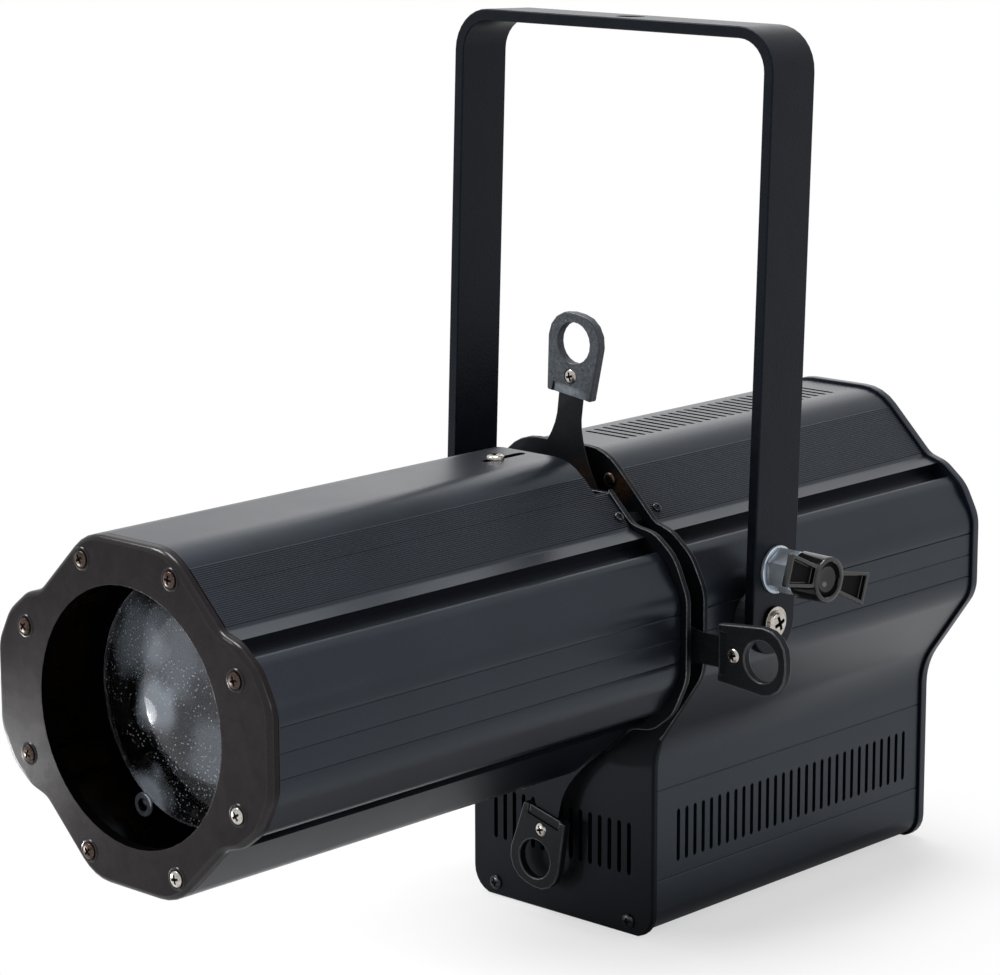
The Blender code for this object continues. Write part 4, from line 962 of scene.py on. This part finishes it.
def make_knob(side):
    """Hub with an open bore and two hollow wings, moulded in one."""
    node = f"{side}_lock_knob"
    way, sign = knob_frame(side)
    low, high = span(node)
    end = high.x if sign > 0 else -low.x
    work = bmesh.new()
    for flip in (1, -1):
        wing_tray(work, end, way, flip)
    bmesh.ops.recalc_face_normals(work, faces=work.faces)
    round_edges(work, sharp_edges(work), WING_EDGE, 3, 0)
    base = end - KNOB_HUB_L
    rim = end - BOWL_AT
    bowl = []
    for i in range(BOWL_STEPS):
        angle = math.pi / 2 * i / BOWL_STEPS
        depth = (KNOB_BORE_D - BOWL_AT) * math.cos(angle)
        bowl.append((KNOB_BORE_R * math.sin(angle), rim - depth))
    hub = [
        *bowl,
        (KNOB_BORE_R, rim), (KNOB_BORE_R, end - 0.5), (KNOB_BORE_R + 0.5, end),
        (KNOB_HUB_R - 0.9, end), (KNOB_HUB_R - 0.3, end - 0.3), (KNOB_HUB_R, end - 0.9),
        (KNOB_HUB_R + 0.4, base + 1.0), (KNOB_HUB_R - 0.4, base), (0, base),
    ]
    turned(work, hub, 56, way)
    finishes = [KNOB_ABS, POCKET_SHADE_ABS]
    mesh = to_mesh(work, node)
    piece(f"{side}_wing_knob", mesh, f"{side}_knob", finishes, [node])


def make_collar(side):
    """Chrome hexagon between the knob and a flange against the leg, on its stud."""
    node = f"{side}_lock_stud"
    way, sign = knob_frame(side, 0.0)
    low, high = span(node)
    tip = low.x if sign > 0 else -high.x
    knob_low, knob_high = span(f"{side}_lock_knob")
    top = (knob_high.x if sign > 0 else -knob_low.x) - KNOB_HUB_L - COLLAR_GAP
    foot = YOKE_OUT + LEG_GAP
    seat = foot + COLLAR_FLANGE_T
    flange = [
        (0, seat), (COLLAR_FLANGE_R - 0.5, seat), (COLLAR_FLANGE_R, seat - 0.4),
        (COLLAR_FLANGE_R, foot), (STUD_R, foot), (STUD_R, tip), (0, tip),
    ]
    hexagon = [
        (0, top), (COLLAR_HEX_R - 1.2, top), (COLLAR_HEX_R, top - 0.7),
        (COLLAR_HEX_R, seat + 0.6), (COLLAR_HEX_R - 0.8, seat + 0.05), (0, seat + 0.05),
    ]
    work = turned(bmesh.new(), flange, 56, way)
    turned(work, hexagon, 6, way)
    name = f"{side}_chrome_collar"
    piece(name, to_mesh(work, node), f"{side}_knob", CHROME, [node])


def make_pivot_bolts():
    """The yoke's pivots, on a flat washer and a spring washer."""
    mesh = screw_mesh(*PIVOT_HEAD, shank=18.0, washer=7.4, washer_t=0.6, spring=True)
    for side, sign in SIDES:
        node = f"{side}_pivot_screw"
        place = (sign * (YOKE_OUT + LEG_GAP), middle_of(node).y, AXIS_Z)
        screw(f"{side}_pivot_bolt", "body", place, (sign, 0, 0), mesh, NICKEL, 20, [node])


def make_focus_bolt():
    """The screw in the barrel's roof that slides the focus lens."""
    middle = middle_of("focus_screw")
    place = (middle.x, middle.y, BARREL_HIGH.z + ROOF_GAP)
    mesh = screw_mesh(*FOCUS_HEAD, shank=9.0)
    screw("focus_bolt", "focus", place, UPWARD, mesh, NICKEL, 30, ["focus_screw"])


def make_handle_bolts():
    """The screws that hold the shutter handles to their blades."""
    mesh = screw_mesh(*HANDLE_HEAD, shank=2.0)
    for side in SHUTTERS:
        node = f"{side}_handle_screw"
        middle = middle_of(node)
        place = (middle.x, span(node)[0].y + HANDLE_SCREW_FOOT, middle.z)
        name = f"{side}_handle_bolt"
        screw(name, f"{side}_shutter", place, FORWARD, mesh, NICKEL, 15, [node])


def make_lens_clips():
    """Three screws with broad washers that hold the front lens."""
    for i in range(3):
        node = f"lens_clip_{i + 1}"
        low, high = span(node)
        middle = middle_of(node)
        foot = low.y + CLIP_FOOT
        mesh = screw_mesh(*CLIP_HEAD, shank=high.y - foot)
        place = (middle.x, foot, middle.z)
        name = f"lens_clip_bolt_{i + 1}"
        screw(name, "body", place, FORWARD, mesh, BLACK_ZINC, 70 * i, [node])
        work = turned(bmesh.new(), CLIP_WASHER, 40, facing(place, FORWARD))
        name = f"lens_clip_washer_{i + 1}"
        piece(name, to_mesh(work, name), "body", WASHER)


def clear_of_screw(side):
    """A test for the rim edges of a handle, away from its screw."""
    middle = middle_of(f"{side}_handle_screw")

    def wanted(edge):
        point = midpoint(edge)
        away = math.hypot(point.x - middle.x, point.z - middle.z)
        return on_face_rim(edge) and away > HANDLE_SCREW_CLEAR

    return wanted


def root_step(handle):
    """A test for the floor of the step in a handle's front face."""
    front = span(handle)[0].y
    least, most = ROOT_STEP

    def wanted(face):
        return face.normal.y < -FACE_Y and least < face.calc_center_median().y - front < most

    return wanted


def make_shutters():
    """Handles and blades; the upper handle has painted light, the lower blade the gate's painted
    shade.
    """
    for side in SHUTTERS:
        handle = f"{side}_shutter_handle"
        soft = (0.7, 3, clear_of_screw(side), RUBBED_NYLON_HIGHLIGHT)
        # The upper handle takes a lighter copy of the nylon: painted light
        pale = side == "top"
        face = LIT_COPY_NYLON if pale else NYLON
        floor = (root_step(handle), STEP_NYLON_PAINTED_LIGHT) if pale else None
        eased(f"{side}_finger_tab", handle, face, (soft,), recoat=floor)
        # The lower blade lies in the barrel's shade and takes the gate's darker black: painted
        # shade
        steel = PLATE_PAINT_AND_SHADE if side == "bottom" else BLADE
        eased(f"{side}_framing_blade", f"{side}_shutter_blade", steel)


def make_pins(node, count, ring, radius, length, core=0.0):
    """Contacts on the floor of a socket's bore, round a moulded core if it has one."""
    x, _, z = middle_of(node)
    floor = span(node)[1].y - SOCKET_BORE_D + PIN_FOOT
    pin = [(0, length), (radius * 0.6, length - 0.1), (radius, length - 0.7), (radius, 0), (0, 0)]
    work = bmesh.new()
    for i in range(count):
        angle = math.pi / 2 + 2 * math.pi * i / count
        place = (x + ring * math.cos(angle), floor, z + ring * math.sin(angle))
        turned(work, pin, 20, facing(place, BACKWARD))
    piece(f"{node}_pins", to_mesh(work, "pins"), "body", NICKEL)
    if core:
        tall = length + CORE_OVER
        post = [(0, tall), (core - 0.6, tall), (core, tall - 0.6), (core, 0), (0, 0)]
        middle = turned(bmesh.new(), post, 32, facing((x, floor, z), BACKWARD))
        piece(f"{node}_core", to_mesh(middle, "core"), "body", ABS)


def make_fuse_cap():
    """Ridged cap of the fuse holder."""
    low, high = span("fuse_holder")
    x, _, z = middle_of("fuse_holder")
    radius = (high.x - low.x) / 2
    tall = high.y - REAR_BACK - FUSE_GAP
    deep = low.y - REAR_BACK
    cap = [
        (0, tall - FUSE_DISH_D), (radius - 3, tall - FUSE_DISH_D), (radius - 2.4, tall),
        (radius - 1, tall), (radius, tall - 1), (radius, 0),
    ]
    stem = [(radius * FUSE_STEM_R, 0), (radius * FUSE_STEM_R, deep), (0, deep)]
    way = facing((x, REAR_BACK + FUSE_GAP, z), BACKWARD)
    work = turned(bmesh.new(), [*cap, *stem], 2 * FUSE_RIDGES, way)
    for vertex in work.verts:
        off_x, off_z = vertex.co.x - x, vertex.co.z - z
        out = math.hypot(off_x, off_z)
        step = round(math.atan2(off_z, off_x) / math.pi * FUSE_RIDGES - 0.5)
        if out > radius - 0.2 and step % 2:
            vertex.co.x -= off_x * FUSE_RIDGE_D / out
            vertex.co.z -= off_z * FUSE_RIDGE_D / out
    piece("fuse_cap", to_mesh(work, "fuse_cap"), "body", ABS, ["fuse_holder"])


def make_display_frame():
    """Thin raised frame with round corners about the display window."""
    low, high = span("display_window")
    x, _, z = middle_of("display_window")
    inset = DISPLAY_GAP - DISPLAY_CORNER_R
    half_x, half_z = (high.x - low.x) / 2 + inset, (high.z - low.z) / 2 + inset
    base = max(REAR_BACK, high.y) + DISPLAY_LIFT
    step = 90 / (DISPLAY_CORNER_STEPS - 1)
    rows = []
    work = bmesh.new()
    for out, rise in DISPLAY_SECTION:
        radius = DISPLAY_CORNER_R + out
        row = []
        for sign_x, sign_z, start in ((1, 1, 0), (-1, 1, 90), (-1, -1, 180), (1, -1, 270)):
            for k in range(DISPLAY_CORNER_STEPS):
                angle = math.radians(start + step * k)
                u = sign_x * half_x + radius * math.cos(angle)
                v = sign_z * half_z + radius * math.sin(angle)
                row.append(work.verts.new((x + u, base + rise, z + v)))
        rows.append(row)
    for above, below in zip(rows, [*rows[1:], rows[0]]):
        stitch(work, above, below)
    piece("display_frame", to_mesh(work, "display_frame"), "body", ABS)


def make_rear_details():
    """Contacts, fuse cap and display frame on the hidden rear panel, as such lights have them."""
    for node in ("data_in_socket", "data_out_socket"):
        make_pins(node, count=3, ring=3.6, radius=1.2, length=9.0)
    make_pins("power_inlet", count=3, ring=5.9, radius=1.1, length=7.0, core=4.2)
    make_fuse_cap()
    make_display_frame()


def dress_frame_nodes():
    """Finishes on the CAD pieces that show as they are."""
    finishes = (
        (YOKE_COAT, "base_plate"),
        (FLOCK, "lens_seat_ring optics_tube"),
        (PLATE_PAINT_AND_SHADE, "gate_divider"),
        (GLASS, "focus_lens condenser_lens"),
        (BOARD, "led_board control_board"),
        (ALUMINIUM, "heat_sink power_supply"),
        (WINDOW, "display_window"),
        (KNOB_ABS, "menu_button_1 menu_button_2 menu_button_3 menu_button_4"),
        (ABS, "data_in_socket data_out_socket power_inlet fan_frame fan_rotor"),
        (ABS, "focus_carriage left_spacer_bush right_spacer_bush"),
    )
    for finish, names in finishes:
        for name in names.split():
            mesh = NODES[name].data
            mesh.materials.clear()
            mesh.materials.append(finish)


# The sweep under the object, in metres
FLOOR_R = 4.0
FLOOR_DROP = 0.0004  # below the object's foot
WHITE_FROM, WHITE_TO = 0.1, 0.2  # from the origin, where the floor turns plain white
SHADOW_SHARE = 0.42
LINE_FRONT, LINE_REAR = -0.33, 0.08  # ends of the line that the object stands over
MIRROR_FROM, MIRROR_TO = 0.1, 0.25  # from that line, the same turn as gloss and glass see it
PAPER = 0.95  # share of the light that the paper turns back


def bounced(tree, path):
    """1 for rays from gloss and through glass, else 0."""
    rays = {0: path["Is Glossy Ray"], 1: path["Is Transmission Ray"]}
    return add_node(tree, "Math", rays, operation="MAXIMUM")


def from_footprint(tree, where):
    """Distance on the floor from the line that the object stands over."""
    parts = add_node(tree, "SeparateXYZ", {"Vector": where}).outputs
    ends = {"Value": parts["Y"], "Min": LINE_FRONT, "Max": LINE_REAR}
    along = add_node(tree, "Clamp", ends)
    rest = add_node(tree, "Math", {0: parts["Y"], 1: along}, operation="SUBTRACT")
    across = add_node(tree, "CombineXYZ", {"X": parts["X"], "Y": rest})
    away = add_node(tree, "VectorMath", {0: across}, operation="LENGTH")
    return away.outputs["Value"]


def white_sweep():
    """Paper sweep: takes the shadow near the object and is plain white further out."""
    made, tree, where, surface = blank("white_sweep")
    path = add_node(tree, "LightPath").outputs
    reach = add_node(tree, "VectorMath", {0: where}, operation="LENGTH")
    near = {"From Min": WHITE_FROM, "From Max": WHITE_TO, "To Min": 1 - SHADOW_SHARE}
    seen = add_node(tree, "MapRange", {"Value": reach.outputs["Value"], **near})
    away = from_footprint(tree, where)
    under = {"Value": away, "From Min": MIRROR_FROM, "From Max": MIRROR_TO}
    mirrored = add_node(tree, "MapRange", under)
    direct = {0: path["Is Camera Ray"], 1: seen}
    straight = add_node(tree, "Math", direct, operation="MULTIPLY")
    indirect = {0: bounced(tree, path), 1: mirrored}
    returned = add_node(tree, "Math", indirect, operation="MULTIPLY")
    white = add_node(tree, "Math", {0: straight, 1: returned}, operation="ADD")
    paper = add_node(tree, "BsdfDiffuse", {"Color": (PAPER, PAPER, PAPER, 1.0)})
    glow = add_node(tree, "Emission", {"Color": WHITE, "Strength": 1.0})
    mix = add_node(tree, "MixShader", {0: white, 1: paper, 2: glow})
    tree.links.new(mix.outputs["Shader"], surface)
    return made


def make_floor():
    """A wide round sheet under the object."""
    work = bmesh.new()
    bmesh.ops.create_circle(work, cap_ends=True, segments=96, radius=FLOOR_R)
    mesh = bpy.data.meshes.new("floor")
    work.to_mesh(mesh)
    work.free()
    mesh.materials.append(white_sweep())
    floor = add_object("floor", mesh)
    floor.location = (0, 0, -FLOOR_DROP)


ROOM_LIGHT = 0.32  # soft light of the room; seen directly or mirrored it is plain white


def make_world():
    """A white room."""
    world = bpy.data.worlds.new("studio")
    bpy.context.scene.world = world
    world.use_nodes = True
    tree = world.node_tree
    tree.nodes.clear()
    path = add_node(tree, "LightPath").outputs
    rays = {0: path["Is Camera Ray"], 1: bounced(tree, path)}
    seen = add_node(tree, "Math", rays, operation="MAXIMUM")
    strength = add_node(tree, "MapRange", {"Value": seen, "To Min": ROOM_LIGHT})
    light = add_node(tree, "Background", {"Color": WHITE, "Strength": strength})
    add_node(tree, "OutputWorld", {"Surface": light})


# In metres and watts; name: (place, aim, width, height, power)
LAMPS = {
    "overhead_softbox": ((-0.2, 0.1, 1.9), (0, -0.1, 0.2), 0.9, 0.9, 24),
    "left_softbox": ((-0.921, -0.895, 1.51), (0, -0.25, 0.17), 0.7, 0.7, 22),
    "back_left_softbox": ((-0.99, 1.31, 1.05), (0, -0.1, 0.25), 1.2, 1.2, 2),
    "right_fill": ((1.9, 0.4, 0.9), (0, -0.1, 0.15), 1.0, 0.8, 4),
    "low_spark": ((-0.317, -0.499, 0.024), (-0.013, -0.35, 0.145), 0.03, 0.03, 0.36),
    "low_glow": ((-0.33, -0.505, 0.035), (-0.013, -0.35, 0.145), 0.11, 0.06, 0.1),
}


def make_lamps():
    """Softboxes, and two small lamps low in front that put a star in the lens."""
    for name, (place, aim, width, height, watts) in LAMPS.items():
        data = bpy.data.lights.new(name, "AREA")
        data.shape = "ELLIPSE"
        data.size, data.size_y = width, height
        data.energy = watts
        lamp = add_object(name, data)
        lamp.location = place
        lamp.rotation_euler = (Vector(aim) - Vector(place)).to_track_quat("-Z", "Y").to_euler()


def make_camera():
    """The photograph's camera, from its place and its three angles."""
    data = bpy.data.cameras.new("camera")
    data.sensor_fit = "HORIZONTAL"
    data.sensor_width = SENSOR_W
    data.lens = FOCAL_PX / IMAGE_W * SENSOR_W
    data.clip_start = CLIP_START
    camera = add_object("camera", data)
    turn = Matrix.Rotation(math.radians(CAMERA_AZIMUTH), 4, "Z")
    tilt = Matrix.Rotation(math.radians(90 - CAMERA_ELEVATION), 4, "X")
    roll = Matrix.Rotation(math.radians(CAMERA_ROLL), 4, "Z")
    camera.matrix_world = Matrix.Translation(CAMERA_AT * MM) @ turn @ tilt @ roll
    bpy.context.scene.camera = camera


make_shells()
make_slopes()
make_bezel_screws()
make_slope_screws()
make_plate_screws()
make_lens()
for knob_side, _ in SIDES:
    make_knob(knob_side)
    make_collar(knob_side)
make_pivot_bolts()
make_focus_bolt()
make_handle_bolts()
make_lens_clips()
make_shutters()
make_rear_details()
dress_frame_nodes()
make_floor()
make_world()
make_lamps()
make_camera()
bpy.context.scene.view_settings.view_transform = "Standard"
